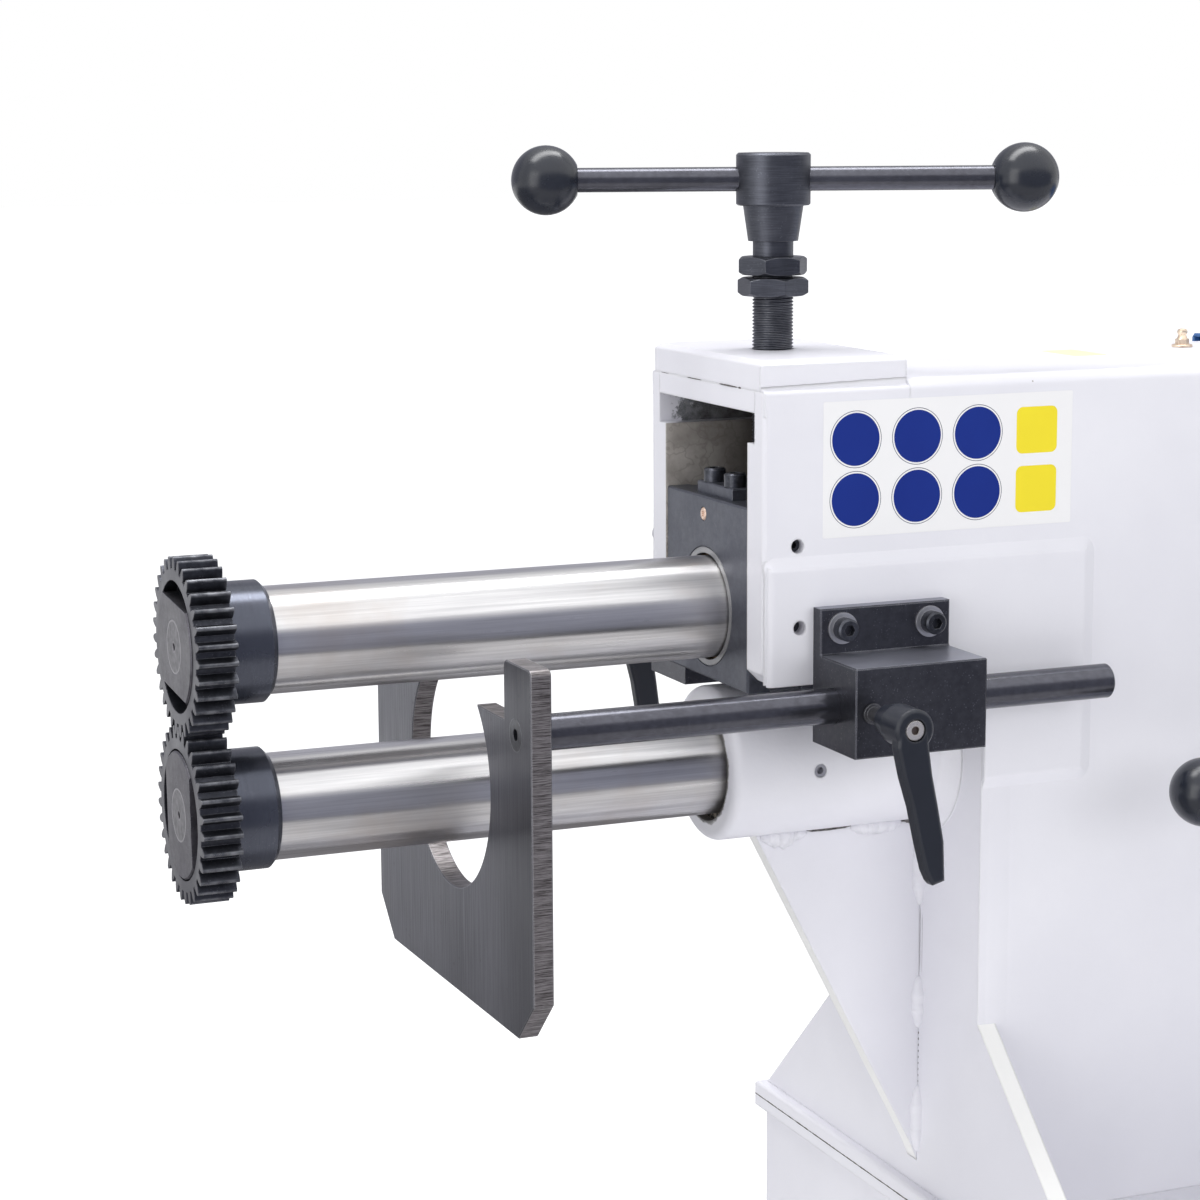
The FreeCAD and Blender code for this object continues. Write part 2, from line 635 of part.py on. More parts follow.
def head_cap():
    half_w = BODY_Y - CAP_INSET
    cap = box(HEAD_FRONT, CAP_REAR, -half_w, half_w, WALL_TOP, CAP_TOP)
    cap = bevel_where(cap, CAP_BEVEL, lambda edge: lies_at(edge, "Z", CAP_TOP))
    return cap.cut(rod_z(WALL_TOP - CUT_PAST, CAP_TOP + CUT_PAST, THREAD_R + SCREW_BORE_GAP, FEED_X, 0))


def feed_nut_block():
    block = box(HEAD_FRONT, CAP_REAR, -NUT_BLOCK_HALF_W, NUT_BLOCK_HALF_W, NUT_BLOCK_BOTTOM, WALL_TOP)
    bore = rod_z(NUT_BLOCK_BOTTOM - CUT_PAST, WALL_TOP + CUT_PAST, THREAD_R + SCREW_BORE_GAP, FEED_X, 0)
    return block.cut(bore)


def body_top_plate():
    half_w = BODY_Y - CAP_INSET
    plate = box(CAP_REAR, COLUMN_REAR, -half_w, half_w, WALL_TOP, WALL_TOP + TOP_PLATE_T)
    long_edge = lambda edge: lies_at(edge, "Z", WALL_TOP + TOP_PLATE_T) and edge.BoundBox.XLength > 10
    return bevel_where(plate, PLATE_BREAK, long_edge)


def column_front_plate():
    top = HEAD_UNDERSIDE - FRONT_PLATE_LIFT
    flare_z = BASE_TOP + FLARE_START
    foot_y = BASE_HALF_W - FLARE_EDGE
    outline = [
        (-foot_y, BASE_TOP), (foot_y, BASE_TOP), (BODY_Y, flare_z), (BODY_Y, top),
        (-BODY_Y, top), (-BODY_Y, flare_z),
    ]
    plate = prism_x(outline, COLUMN_FRONT, COLUMN_FRONT + PLATE_T)
    hole = rod_x(COLUMN_FRONT - CUT_PAST, COLUMN_FRONT + PLATE_T + CUT_PAST, HOUSING_R, 0, LOWER_Z)
    return plate.cut(hole)


def column_rear_plate():
    plate = box(REAR_PLATE_X, COLUMN_REAR, -BODY_Y, BODY_Y, BASE_TOP, WALL_TOP)
    hole = rod_x(REAR_PLATE_X - CUT_PAST, COLUMN_REAR + CUT_PAST, BUSH_R + SEAT_GAP, 0, LOWER_Z)
    return plate.cut(hole)


def web_gusset():
    top = LOWER_Z - HOUSING_R + GUSSET_OVERLAP
    front = HEAD_FRONT + GUSSET_FRONT
    outline = [
        (front, top), (COLUMN_FRONT, top), (COLUMN_FRONT, top - GUSSET_DROP - GUSSET_TOE_DROP),
        (COLUMN_FRONT - GUSSET_TOE, top - GUSSET_DROP), (front, top - GUSSET_OVERLAP),
    ]
    gusset = prism_y(outline, -GUSSET_T / 2, GUSSET_T / 2)
    gusset = gusset.cut(rod_x(HEAD_FRONT, COLUMN_FRONT + CUT_PAST, HOUSING_R, 0, LOWER_Z))
    collar_r = HOUSING_R + FLARE_WELD
    weld_x = COLUMN_FRONT - FLARE_WELD
    relief = turned_x([(weld_x, 0), (weld_x, HOUSING_R), (COLUMN_FRONT, collar_r), (COLUMN_FRONT, 0)],
                      0, LOWER_Z)
    return gusset.cut(relief)


def side_pad(bracket_holes):
    """Raised machining pad that a fence bracket is screwed to, on the far wall."""
    x0 = HEAD_FRONT + PAD_FRONT
    z1 = UPPER_Z + PAD_TOP
    pad = box(x0, x0 + PAD_LENGTH, BODY_Y, BODY_Y + PAD_T, z1 - PAD_HEIGHT, z1)
    pad = round_where(pad, PAD_ROUND, lambda edge: lies_at(edge, "Y", BODY_Y + PAD_T))
    under_head = box(x0 - CUT_PAST, COLUMN_FRONT, BODY_Y - CUT_PAST, BODY_Y + PAD_T + CUT_PAST,
                     BASE_TOP, HEAD_UNDERSIDE)
    pad = pad.cut(under_head)
    for x, z in bracket_holes:
        pad = pad.cut(rod_y(BODY_Y - CUT_PAST, BODY_Y + PAD_T + CUT_PAST, M8_R + SEAT_GAP, x, z))
    low_hole = rod_y(BODY_Y - CUT_PAST, BODY_Y + PAD_T + CUT_PAST, SET_SCREW_R + SEAT_GAP, gib_screw_x(),
                     UPPER_Z + GIB_SCREW_LOW)
    return pad.cut(low_hole)


def side_pads():
    return group([side_pad(far_screw_places()), mirrored(side_pad(near_screw_places()))])


def lower_housing():
    weld_x = COLUMN_FRONT - FLARE_WELD
    outline = [
        (HOUSING_FRONT, BUSH_R), (HOUSING_FRONT, HOUSING_R), (weld_x, HOUSING_R),
        (COLUMN_FRONT, HOUSING_R + FLARE_WELD), (COLUMN_FRONT, HOUSING_R),
        (HOUSING_REAR, HOUSING_R), (HOUSING_REAR, BUSH_R),
    ]
    tube = turned_x(outline, 0, LOWER_Z)
    rim = lambda edge: lies_at(edge, "X", HOUSING_FRONT) and edge.BoundBox.ZLength > 2 * BUSH_R + 1
    tube = round_where(tube, HOUSING_ROUND, rim)
    hole = rod_y(-HOUSING_R - CUT_PAST, -BUSH_R + CUT_PAST, SET_SCREW_R + SEAT_GAP,
                 HEAD_FRONT + HOUSING_SCREW_X, LOWER_Z)
    return tube.cut(hole)


def lower_bushes():
    """Plain front bush in the housing, flanged rear bush in the column's rear plate."""
    inner = SHAFT_R + RUN_GAP
    start = HEAD_FRONT + BUSH_SETBACK
    front = rod_x(start, start + FRONT_BUSH_LENGTH, BUSH_R, 0, LOWER_Z)
    front = front.cut(rod_x(start - CUT_PAST, start + FRONT_BUSH_LENGTH + CUT_PAST, inner, 0, LOWER_Z))
    flange_x = REAR_PLATE_X - REAR_BUSH_FLANGE_T
    rear = turned_x([
        (flange_x, inner), (flange_x, REAR_BUSH_FLANGE_R), (REAR_PLATE_X, REAR_BUSH_FLANGE_R),
        (REAR_PLATE_X, BUSH_R), (COLUMN_REAR, BUSH_R), (COLUMN_REAR, inner),
    ], 0, LOWER_Z)
    return group([front, rear])


def trunnion_pins():
    """Two pins pressed into the walls, on which the upper shaft's swivel block tilts."""
    inner_end = SWIVEL_HALF_W - TRUNNION_DEPTH
    pin = rod_y(inner_end, BODY_Y, TRUNNION_R, PIVOT_X, UPPER_Z)
    head = rod_y(BODY_Y, BODY_Y + TRUNNION_HEAD_T, TRUNNION_HEAD_R, PIVOT_X, UPPER_Z)
    pin = pin.fuse(head).removeSplitter()
    return group([pin, mirrored(pin)])


def yoke_gibs():
    top = UPPER_Z + GIB_TOP
    low = top - GIB_LENGTH
    gib = box(GIB_FRONT + FREE_GAP, GIB_FRONT + GIB_WIDTH - FREE_GAP,
              INNER_Y - GIB_DEPTH, INNER_Y, low, top)
    return group([gib, mirrored(gib)])


def set_screw(length, place, outward):
    """A socket set screw whose outer end is at place."""
    screw = rod_z(-length, 0, SET_SCREW_R, 0, 0)
    screw = screw.cut(hexagon_z(SET_SCREW_SOCKET, -SET_SCREW_SOCKET_DEPTH, CUT_PAST, 0, 0))
    screw.Placement = FreeCAD.Placement(place, FreeCAD.Rotation(Z_AXIS, outward))
    return screw


def set_screws():
    """Screws that press the gibs against the yoke, and the one that holds the front bush."""
    screws = []
    for height in (GIB_SCREW_HIGH, GIB_SCREW_LOW):
        place = V(gib_screw_x(), BODY_Y - SET_SCREW_SUNK, UPPER_Z + height)
        screw = set_screw(WALL_T - SET_SCREW_SUNK, place, Y_AXIS)
        screws += [screw, mirrored(screw)]
    place = V(HEAD_FRONT + HOUSING_SCREW_X, -HOUSING_R + HOUSING_SCREW_SUNK, LOWER_Z)
    screws.append(set_screw(HOUSING_R - BUSH_R - HOUSING_SCREW_SUNK, place, V(0, -1, 0)))
    return group(screws)


# ---------------------------------------------------------------- yoke, keeper and feed screw
def yoke_block():
    block = box(YOKE_FRONT, YOKE_REAR, -YOKE_HALF_W, YOKE_HALF_W, YOKE_BOTTOM, YOKE_TOP)
    block = bevel_where(block, YOKE_BREAK, lambda edge: lies_at(edge, "X", YOKE_FRONT))
    lip_rear = YOKE_FRONT + LIP_T
    groove_end = YOKE_FRONT + LIP_GROOVE_DEPTH
    bore = turned_x([
        (YOKE_FRONT - CUT_PAST, 0), (YOKE_FRONT - CUT_PAST, LIP_R), (lip_rear, LIP_R),
        (lip_rear, BARREL_R + RUN_GAP), (YOKE_REAR + CUT_PAST, BARREL_R + RUN_GAP), (YOKE_REAR + CUT_PAST, 0),
    ], 0, UPPER_Z)
    ring_groove = turned_x([
        (YOKE_FRONT - CUT_PAST, LIP_GROOVE_R), (YOKE_FRONT - CUT_PAST, LIP_GROOVE_R + LIP_GROOVE_W),
        (groove_end, LIP_GROOVE_R + LIP_GROOVE_W), (groove_end, LIP_GROOVE_R),
    ], 0, UPPER_Z)
    block = block.cut(bore).cut(ring_groove)
    block = block.cut(rod_z(POCKET_FLOOR, YOKE_TOP + CUT_PAST, FOOT_FLANGE_R + FREE_GAP, FEED_X, 0))
    groove = box(GIB_FRONT, GIB_FRONT + GIB_WIDTH, INNER_Y - GIB_DEPTH - FREE_GAP, INNER_Y + CUT_PAST,
                 YOKE_BOTTOM - CUT_PAST, YOKE_TOP + CUT_PAST)
    block = block.cut(groove).cut(mirrored(groove))
    for x, y in keeper_screw_places():
        deep = YOKE_TOP - KEEPER_SCREW_REACH - HOLE_DEEPER
        block = block.cut(rod_z(deep, YOKE_TOP + CUT_PAST, M8_R + SEAT_GAP, x, y))
    grease_hole = rod_x(YOKE_FRONT - CUT_PAST, YOKE_FRONT + GREASE_HOLE_DEPTH, M8_R + SEAT_GAP,
                        GREASE_HOLE_Y, YOKE_TOP - GREASE_HOLE_DROP)
    return block.cut(grease_hole)


def keeper_screw_places():
    return [(FEED_X + x * KEEPER_SCREW_X, y * KEEPER_SCREW_Y) for x in (-1, 1) for y in (-1, 1)]


def screw_keeper():
    """Plate on the yoke that holds the feed screw's foot down."""
    plate = box(FEED_X - KEEPER_HALF_L, FEED_X + KEEPER_HALF_L, -KEEPER_HALF_W, KEEPER_HALF_W,
                YOKE_TOP, KEEPER_TOP)
    plate = bevel_where(plate, KEEPER_BREAK, lambda edge: lies_at(edge, "Z", KEEPER_TOP))
    plate = plate.cut(rod_z(YOKE_TOP - CUT_PAST, KEEPER_TOP + CUT_PAST, NECK_R + FREE_GAP, FEED_X, 0))
    for x, y in keeper_screw_places():
        plate = plate.cut(rod_z(YOKE_TOP - CUT_PAST, KEEPER_TOP + CUT_PAST, M8_R + SEAT_GAP, x, y))
    return plate


def keeper_screws():
    places = [V(x, y, KEEPER_TOP) for x, y in keeper_screw_places()]
    return group([cap_screw(place, Z_AXIS, KEEPER_T + KEEPER_SCREW_REACH) for place in places])


def feed_screw():
    flange_z = POCKET_FLOOR + SIDE_GAP
    outline = [
        (flange_z, 0), (flange_z, FOOT_FLANGE_R), (flange_z + FOOT_FLANGE_T, FOOT_FLANGE_R),
        (flange_z + FOOT_FLANGE_T, NECK_R), (THREAD_LOW - THREAD_RUN_IN, NECK_R),
        (THREAD_LOW, THREAD_R - THREAD_DEPTH),
    ]
    turns = int((THREAD_TOP - THREAD_LOW) / THREAD_PITCH)
    for turn in range(turns):
        z = THREAD_LOW + turn * THREAD_PITCH
        outline.append((z + (0.5 - THREAD_CREST / 2) * THREAD_PITCH, THREAD_R))
        outline.append((z + (0.5 + THREAD_CREST / 2) * THREAD_PITCH, THREAD_R))
        outline.append((z + THREAD_PITCH, THREAD_R - THREAD_DEPTH))
    outline.append((THREAD_TOP, THREAD_R - THREAD_DEPTH))
    outline.append((THREAD_TOP, 0))
    return turned_z(outline, FEED_X, 0)


def jam_nut(z0, turn):
    nut = hexagon_z(JAM_NUT_FLATS, z0, z0 + JAM_NUT_T, FEED_X, 0, turn)
    corner_r = JAM_NUT_FLATS / math.sqrt(3)
    flat_r = JAM_NUT_FLATS / 2
    drop = (corner_r - flat_r) * JAM_NUT_SLOPE
    limit = turned_z([
        (z0, 0), (z0, flat_r), (z0 + drop, corner_r), (z0 + JAM_NUT_T - drop, corner_r),
        (z0 + JAM_NUT_T, flat_r), (z0 + JAM_NUT_T, 0),
    ], FEED_X, 0)
    nut = nut.common(limit)
    return nut.cut(rod_z(z0 - CUT_PAST, z0 + JAM_NUT_T + CUT_PAST, THREAD_R + SEAT_GAP, FEED_X, 0))


def jam_nuts():
    low = CAP_TOP + JAM_NUT_LOW
    high = low + JAM_NUT_T + JAM_NUT_SPACE
    return group([jam_nut(low, JAM_NUT_TURNS[0]), jam_nut(high, JAM_NUT_TURNS[1])])


def turned_handle(shape):
    return shape.rotate(V(FEED_X, 0, 0), Z_AXIS, HANDLE_TURN)


def handle_hub():
    outline = [
        (THREAD_TOP, 0), (THREAD_TOP, HUB_NECK_R), (HUB_CONE_Z, HUB_NECK_R),
        (HUB_CONE_Z, HUB_CONE_LOW_R), (HUB_Z, HUB_CONE_TOP_R), (HUB_Z, HUB_R - HUB_LOW_BREAK),
        (HUB_Z + HUB_LOW_BREAK, HUB_R), (HUB_Z + HUB_H - HUB_TOP_BREAK, HUB_R),
        (HUB_Z + HUB_H, HUB_R - HUB_TOP_BREAK), (HUB_Z + HUB_H, 0),
    ]
    hub = turned_z(outline, FEED_X, 0)
    bore = rod_x(FEED_X - HUB_R - 2, FEED_X + HUB_R + 2, HANDLE_BAR_R + SEAT_GAP, 0, HANDLE_Z)
    hub = hub.cut(bore)
    turned_handle(hub)
    return hub


def handle_bar():
    end = HANDLE_REACH - BALL_FLAT
    tip = HANDLE_REACH - BALL_FLAT + BALL_SPIGOT_DEPTH
    outline = [
        (-tip, 0), (-tip, BALL_SPIGOT_R), (-end, BALL_SPIGOT_R), (-end, HANDLE_BAR_R),
        (end, HANDLE_BAR_R), (end, BALL_SPIGOT_R), (tip, BALL_SPIGOT_R), (tip, 0),
    ]
    shifted = [(FEED_X + HANDLE_SLIDE + along, radius) for along, radius in outline]
    bar = turned_x(shifted, 0, HANDLE_Z)
    turned_handle(bar)
    return bar


def ball_knob(place, outward):
    """A ball on a threaded end: the flat face turns towards the bar, against outward."""
    ball = Part.makeSphere(BALL_R)
    ball = ball.cut(box(-BALL_R, BALL_R, -BALL_R, BALL_R, -BALL_R - CUT_PAST, -BALL_FLAT))
    spigot_room = -BALL_FLAT + BALL_SPIGOT_DEPTH + CUT_PAST
    ball = ball.cut(rod_z(-BALL_R, spigot_room, BALL_SPIGOT_R + SEAT_GAP, 0, 0))
    ball.Placement = FreeCAD.Placement(place, FreeCAD.Rotation(Z_AXIS, outward))
    return ball


def handle_ball(side):
    angle = math.radians(HANDLE_TURN)
    along_bar = V(math.cos(angle), math.sin(angle), 0)
    place = V(FEED_X, 0, HANDLE_Z) + along_bar * (HANDLE_SLIDE + side * HANDLE_REACH)
    return ball_knob(place, along_bar * side)


# ---------------------------------------------------------------- shafts, rolls and drive gears
def gear_outline():
    """Involute teeth as (y, z) points, with one tooth at +Z and its corners broken."""
    pitch_r = ROLL_MODULE * ROLL_TEETH / 2
    base_r = pitch_r * math.cos(math.radians(PRESSURE_ANGLE))
    root_r = pitch_r - DEDENDUM * ROLL_MODULE
    tip_r = pitch_r + ROLL_MODULE
    corner = TOOTH_CORNER * ROLL_MODULE
    half_pitch = (math.pi * ROLL_MODULE / 2 - TOOTH_BACKLASH) / (2 * pitch_r)

    def involute(radius):
        angle = math.acos(min(1.0, base_r / radius))
        return math.tan(angle) - angle

    def half_angle(radius):
        return half_pitch + involute(pitch_r) - involute(max(radius, base_r))

    flank = [root_r, base_r, (base_r + pitch_r) / 2, pitch_r, (pitch_r + tip_r) / 2, tip_r - corner]
    side = [(radius, half_angle(radius)) for radius in flank]
    side.append((tip_r, half_angle(tip_r) - corner / tip_r))
    points = []
    for tooth in range(ROLL_TEETH):
        middle = math.pi / 2 - 2 * math.pi * tooth / ROLL_TEETH
        for radius, angle in side:
            points.append((radius * math.cos(middle + angle), radius * math.sin(middle + angle)))
        for radius, angle in reversed(side):
            points.append((radius * math.cos(middle - angle), radius * math.sin(middle - angle)))
    return points


def gear_blank(x0, x1, z, bore_r):
    outline = [(y, z + dz) for y, dz in gear_outline()]
    blank = prism_x(outline, x0, x1)
    return blank.cut(rod_x(x0 - CUT_PAST, x1 + CUT_PAST, bore_r, 0, z))


def roll(z):
    gear = gear_blank(ROLL_X, SHOULDER_X, z, ROLL_BORE_R + SEAT_GAP)
    return gear.cut(rod_x(ROLL_X - CUT_PAST, ROLL_X + RECESS_DEPTH, RECESS_R, 0, z))


def roll_nut(z, turn):
    """Round nut in the roll's recess, with two flats for the spanner."""
    x0 = ROLL_X - ROLL_NUT_PROUD
    x1 = ROLL_X + RECESS_DEPTH
    disc = rod_x(x0, x1, ROLL_NUT_R, 0, z)
    disc = bevel_where(disc, ROLL_NUT_BREAK, lambda edge: lies_at(edge, "X", x0))
    half = ROLL_NUT_FLATS / 2
    keep = box(x0, x1, -ROLL_NUT_R, ROLL_NUT_R, z - half, z + half)
    keep.rotate(V(0, 0, z), X_AXIS, turn)
    nut = disc.common(keep)
    return nut.cut(rod_x(x0 - CUT_PAST, x1 + CUT_PAST, NOSE_R + SEAT_GAP, 0, z))


def front_collar(z):
    outline = [
        (SHOULDER_X, SHAFT_R + SEAT_GAP), (SHOULDER_X, COLLAR_R), (COLLAR_REAR - COLLAR_BEVEL, COLLAR_R),
        (COLLAR_REAR, COLLAR_R - COLLAR_BEVEL), (COLLAR_REAR, SHAFT_R + SEAT_GAP),
    ]
    return turned_x(outline, 0, z)


def shaft_nose():
    """The front end common to both shafts, as (x, radius) points up to the shoulder."""
    nose_x = ROLL_X - ROLL_NUT_PROUD
    seat_x = ROLL_X + RECESS_DEPTH
    return [
        (nose_x + DIMPLE_DEPTH, 0), (nose_x, DIMPLE_R), (nose_x, NOSE_R), (seat_x, NOSE_R),
        (seat_x, ROLL_BORE_R), (SHOULDER_X, ROLL_BORE_R), (SHOULDER_X, SHAFT_R),
    ]


def upper_shaft():
    rear = REAR_COLLAR_X + REAR_COLLAR_LENGTH + UPPER_TAIL
    outline = shaft_nose() + [(rear - SHAFT_BREAK, SHAFT_R), (rear, SHAFT_R - SHAFT_BREAK), (rear, 0)]
    return turned_x(outline, 0, UPPER_Z)


def lower_shaft():
    step = COLUMN_REAR + TAIL_STEP
    rear = step + TAIL_LENGTH
    outline = shaft_nose() + [(step, SHAFT_R), (step, TAIL_R), (rear - TAIL_BREAK, TAIL_R),
                              (rear, TAIL_R - TAIL_BREAK), (rear, 0)]
    shaft = turned_x(outline, 0, LOWER_Z)
    key = box(REDUCER_X + KEY_INSET, REDUCER_REAR - KEY_INSET, -KEY_W / 2, KEY_W / 2,
              LOWER_Z + TAIL_R - KEY_H, LOWER_Z + TAIL_R + KEY_H)
    return shaft.fuse(key)


def drive_gear(z):
    gear = gear_blank(GEAR_X, GEAR_REAR, z, SHAFT_R + SEAT_GAP)
    hub = rod_x(GEAR_REAR, HUB_REAR, GEAR_HUB_R, 0, z)
    hub = hub.cut(rod_x(GEAR_REAR - CUT_PAST, HUB_REAR + CUT_PAST, SHAFT_R + SEAT_GAP, 0, z))
    return gear.fuse(hub)


def upper_swivel_block():
    x1 = SWIVEL_X + SWIVEL_LENGTH
    block = box(SWIVEL_X, x1, -SWIVEL_HALF_W, SWIVEL_HALF_W,
                UPPER_Z - SWIVEL_HALF_H, UPPER_Z + SWIVEL_HALF_H)
    block = bevel_where(block, SWIVEL_CORNER, lambda edge: edge.BoundBox.XLength > SWIVEL_LENGTH - 1)
    block = block.cut(rod_x(SWIVEL_X - CUT_PAST, x1 + CUT_PAST, SHAFT_R + RUN_GAP, 0, UPPER_Z))
    pin_end = SWIVEL_HALF_W - TRUNNION_DEPTH - FREE_GAP
    bore = rod_y(pin_end, SWIVEL_HALF_W + CUT_PAST, TRUNNION_R + RUN_GAP, PIVOT_X, UPPER_Z)
    return block.cut(bore).cut(mirrored(bore))


def upper_front_bush():
    """Barrel-shaped bush: its spherical middle tilts in the yoke's bore."""
    half = BARREL_LENGTH / 2
    sphere = Part.makeSphere(BARREL_R, V(BARREL_MID, 0, UPPER_Z))
    crown = math.sqrt(BARREL_R ** 2 - BARREL_END_R ** 2)
    middle = sphere.common(rod_x(BARREL_MID - crown, BARREL_MID + crown, BARREL_R + CUT_PAST, 0, UPPER_Z))
    body = middle.fuse(rod_x(BARREL_MID - half, BARREL_MID + half, BARREL_END_R, 0, UPPER_Z))
    bore = rod_x(BARREL_MID - half - CUT_PAST, BARREL_MID + half + CUT_PAST, SHAFT_R + RUN_GAP, 0, UPPER_Z)
    return body.cut(bore)


def plain_collar(x0, length, radius, z):
    collar = rod_x(x0, x0 + length, radius, 0, z)
    return collar.cut(rod_x(x0 - CUT_PAST, x0 + length + CUT_PAST, SHAFT_R + SEAT_GAP, 0, z))


def upper_collars():
    """Front collar behind the roll, rear collar behind the swivel block."""
    rear = plain_collar(REAR_COLLAR_X, REAR_COLLAR_LENGTH, REAR_COLLAR_R, UPPER_Z)
    return group([front_collar(UPPER_Z), rear])


def lower_collars():
    """Front collar behind the roll, and the two that trap the shift ring."""
    before = plain_collar(RING_FRONT - SIDE_GAP - RING_COLLAR_LENGTH, RING_COLLAR_LENGTH,
                          RING_COLLAR_R, LOWER_Z)
    behind = plain_collar(RING_REAR + SIDE_GAP, RING_COLLAR_LENGTH, RING_COLLAR_R, LOWER_Z)
    return group([front_collar(LOWER_Z), before, behind])


# ---------------------------------------------------------------- axial shift of the lower shaft
def shift_ring():
    """Ring on the lower shaft that the shift handle's eccentric pin moves back and forth."""
    ring = rod_x(RING_FRONT, RING_REAR, SHIFT_RING_R, 0, LOWER_Z)
    ring = ring.cut(rod_x(RING_FRONT - CUT_PAST, RING_REAR + CUT_PAST, SHAFT_R + RUN_GAP, 0, LOWER_Z))
    half_w = SHIFT_PIN_R + SIDE_GAP
    slot_floor = -SHIFT_RING_R + SHIFT_PIN_DEPTH + SHIFT_SLOT_ROOM
    slot = box(SHIFT_AXIS_X - half_w, SHIFT_AXIS_X + half_w, -SHIFT_RING_R - CUT_PAST, slot_floor,
               LOWER_Z - SHIFT_SLOT_HALF_H, LOWER_Z + SHIFT_SLOT_HALF_H)
    return ring.cut(slot)


def shift_bearing():
    outer = -BODY_Y - SHIFT_BEARING_T
    flange = rod_y(outer, -BODY_Y, SHIFT_BEARING_R, SHIFT_AXIS_X, LOWER_Z)
    flange = bevel_where(flange, SHIFT_BEARING_BREAK, lambda edge: lies_at(edge, "Y", outer))
    bore = rod_y(outer - CUT_PAST, -BODY_Y + CUT_PAST, SHIFT_SHAFT_R + RUN_GAP, SHIFT_AXIS_X, LOWER_Z)
    return flange.cut(bore)


def shift_shaft():
    """Handle's shaft with its eccentric pin, which points up at rest."""
    inner_end = -SHIFT_RING_R - SHIFT_SHAFT_GAP
    outer_end = -STAR_Y - STAR_HUB_LENGTH / 2
    shaft = rod_y(outer_end, inner_end, SHIFT_SHAFT_R, SHIFT_AXIS_X, LOWER_Z)
    pin = rod_y(inner_end, -SHIFT_RING_R + SHIFT_PIN_DEPTH, SHIFT_PIN_R, SHIFT_AXIS_X,
                LOWER_Z + SHIFT_THROW)
    return shaft.fuse(pin)


def star_directions():
    angles = [math.radians(STAR_ANGLE + 360 * n / STAR_SPOKES) for n in range(STAR_SPOKES)]
    return [V(math.cos(angle), 0, math.sin(angle)) for angle in angles]


def star_handle():
    """Hub and its spokes, each spoke screwed into a socket of the hub."""
    y0 = -STAR_Y - STAR_HUB_LENGTH / 2
    y1 = -STAR_Y + STAR_HUB_LENGTH / 2
    hub = rod_y(y0, y1, STAR_HUB_R, SHIFT_AXIS_X, LOWER_Z)
    end_edge = lambda edge: lies_at(edge, "Y", y0) or lies_at(edge, "Y", y1)
    hub = bevel_where(hub, STAR_HUB_BREAK, end_edge)
    hub = hub.cut(rod_y(y0 - CUT_PAST, y1 + CUT_PAST, SHIFT_SHAFT_R + SEAT_GAP, SHIFT_AXIS_X, LOWER_Z))
    centre = V(SHIFT_AXIS_X, -STAR_Y, LOWER_Z)
    socket_start = SHIFT_SHAFT_R + STAR_SOCKET_WALL
    spoke_end = STAR_REACH - BALL_FLAT
    spokes = []
    for way in star_directions():
        start = centre + way * socket_start
        end = centre + way * spoke_end
        hub = hub.cut(Part.makeCylinder(STAR_SPOKE_R + SEAT_GAP, STAR_HUB_R, start, way))
        spoke = Part.makeCylinder(STAR_SPOKE_R, spoke_end - socket_start, start, way)
        spokes.append(spoke.fuse(Part.makeCylinder(BALL_SPIGOT_R, BALL_SPIGOT_DEPTH, end, way)))
    return group([hub] + spokes)


def star_balls():
    centre = V(SHIFT_AXIS_X, -STAR_Y, LOWER_Z)
    return group([ball_knob(centre + way * STAR_REACH, way) for way in star_directions()])


# ---------------------------------------------------------------- fence and its bar
def fence_plate():
    top = LOWER_Z + FENCE_TOP
    low = LOWER_Z + FENCE_BOTTOM
    ear = LOWER_Z + EAR_TOP
    outline = [
        (-FENCE_HALF_W, low + FENCE_CORNER), (-FENCE_HALF_W + FENCE_CORNER, low),
        (FENCE_HALF_W - FENCE_CORNER, low), (FENCE_HALF_W, low + FENCE_CORNER),
        (FENCE_HALF_W, top), (-EAR_INNER_Y, top), (-EAR_INNER_Y, ear), (-FENCE_HALF_W, ear),
    ]
    plate = prism_x(outline, FENCE_X, FENCE_REAR)
    ear_corner = lambda edge: lies_at(edge, "Z", ear) and edge.BoundBox.XLength > FENCE_T / 2
    plate = round_where(plate, EAR_ROUND, ear_corner)
    hole_z = LOWER_Z + FENCE_HOLE_ABOVE
    plate = plate.cut(rod_x(FENCE_X - CUT_PAST, FENCE_REAR + CUT_PAST, FENCE_HOLE_R, 0, hole_z))
    face_edge = lambda edge: lies_at(edge, "X", FENCE_X) or lies_at(edge, "X", FENCE_REAR)
    plate = bevel_where(plate, FENCE_EDGE_BREAK, face_edge)
    return plate.cut(fence_bolt_shape(SEAT_GAP))


def fence_bolt_shape(gap):
    head_end = FENCE_X + FENCE_BOLT_HEAD_T
    tip = FENCE_REAR + FENCE_BOLT_DEPTH + gap
    outline = [
        (FENCE_X, 0), (FENCE_X, FENCE_BOLT_HEAD_R + gap), (head_end, FENCE_BOLT_R + gap),
        (tip, FENCE_BOLT_R + gap), (tip, 0),
    ]
    return turned_x(outline, -BAR_Y, BAR_Z)


def fence_bolt():
    bolt = fence_bolt_shape(0)
    socket = rod_x(FENCE_X - CUT_PAST, FENCE_X + FENCE_BOLT_SOCKET_DEPTH, FENCE_BOLT_SOCKET_R,
                   -BAR_Y, BAR_Z)
    return bolt.cut(socket)


def fence_bar():
    rear = HEAD_FRONT + BAR_REAR
    outline = [
        (FENCE_REAR, 0), (FENCE_REAR, BAR_R), (rear - BAR_BREAK, BAR_R), (rear, BAR_R - BAR_BREAK),
        (rear, 0),
    ]
    bar = turned_x(outline, -BAR_Y, BAR_Z)
    return bar.cut(fence_bolt_shape(RUN_GAP))


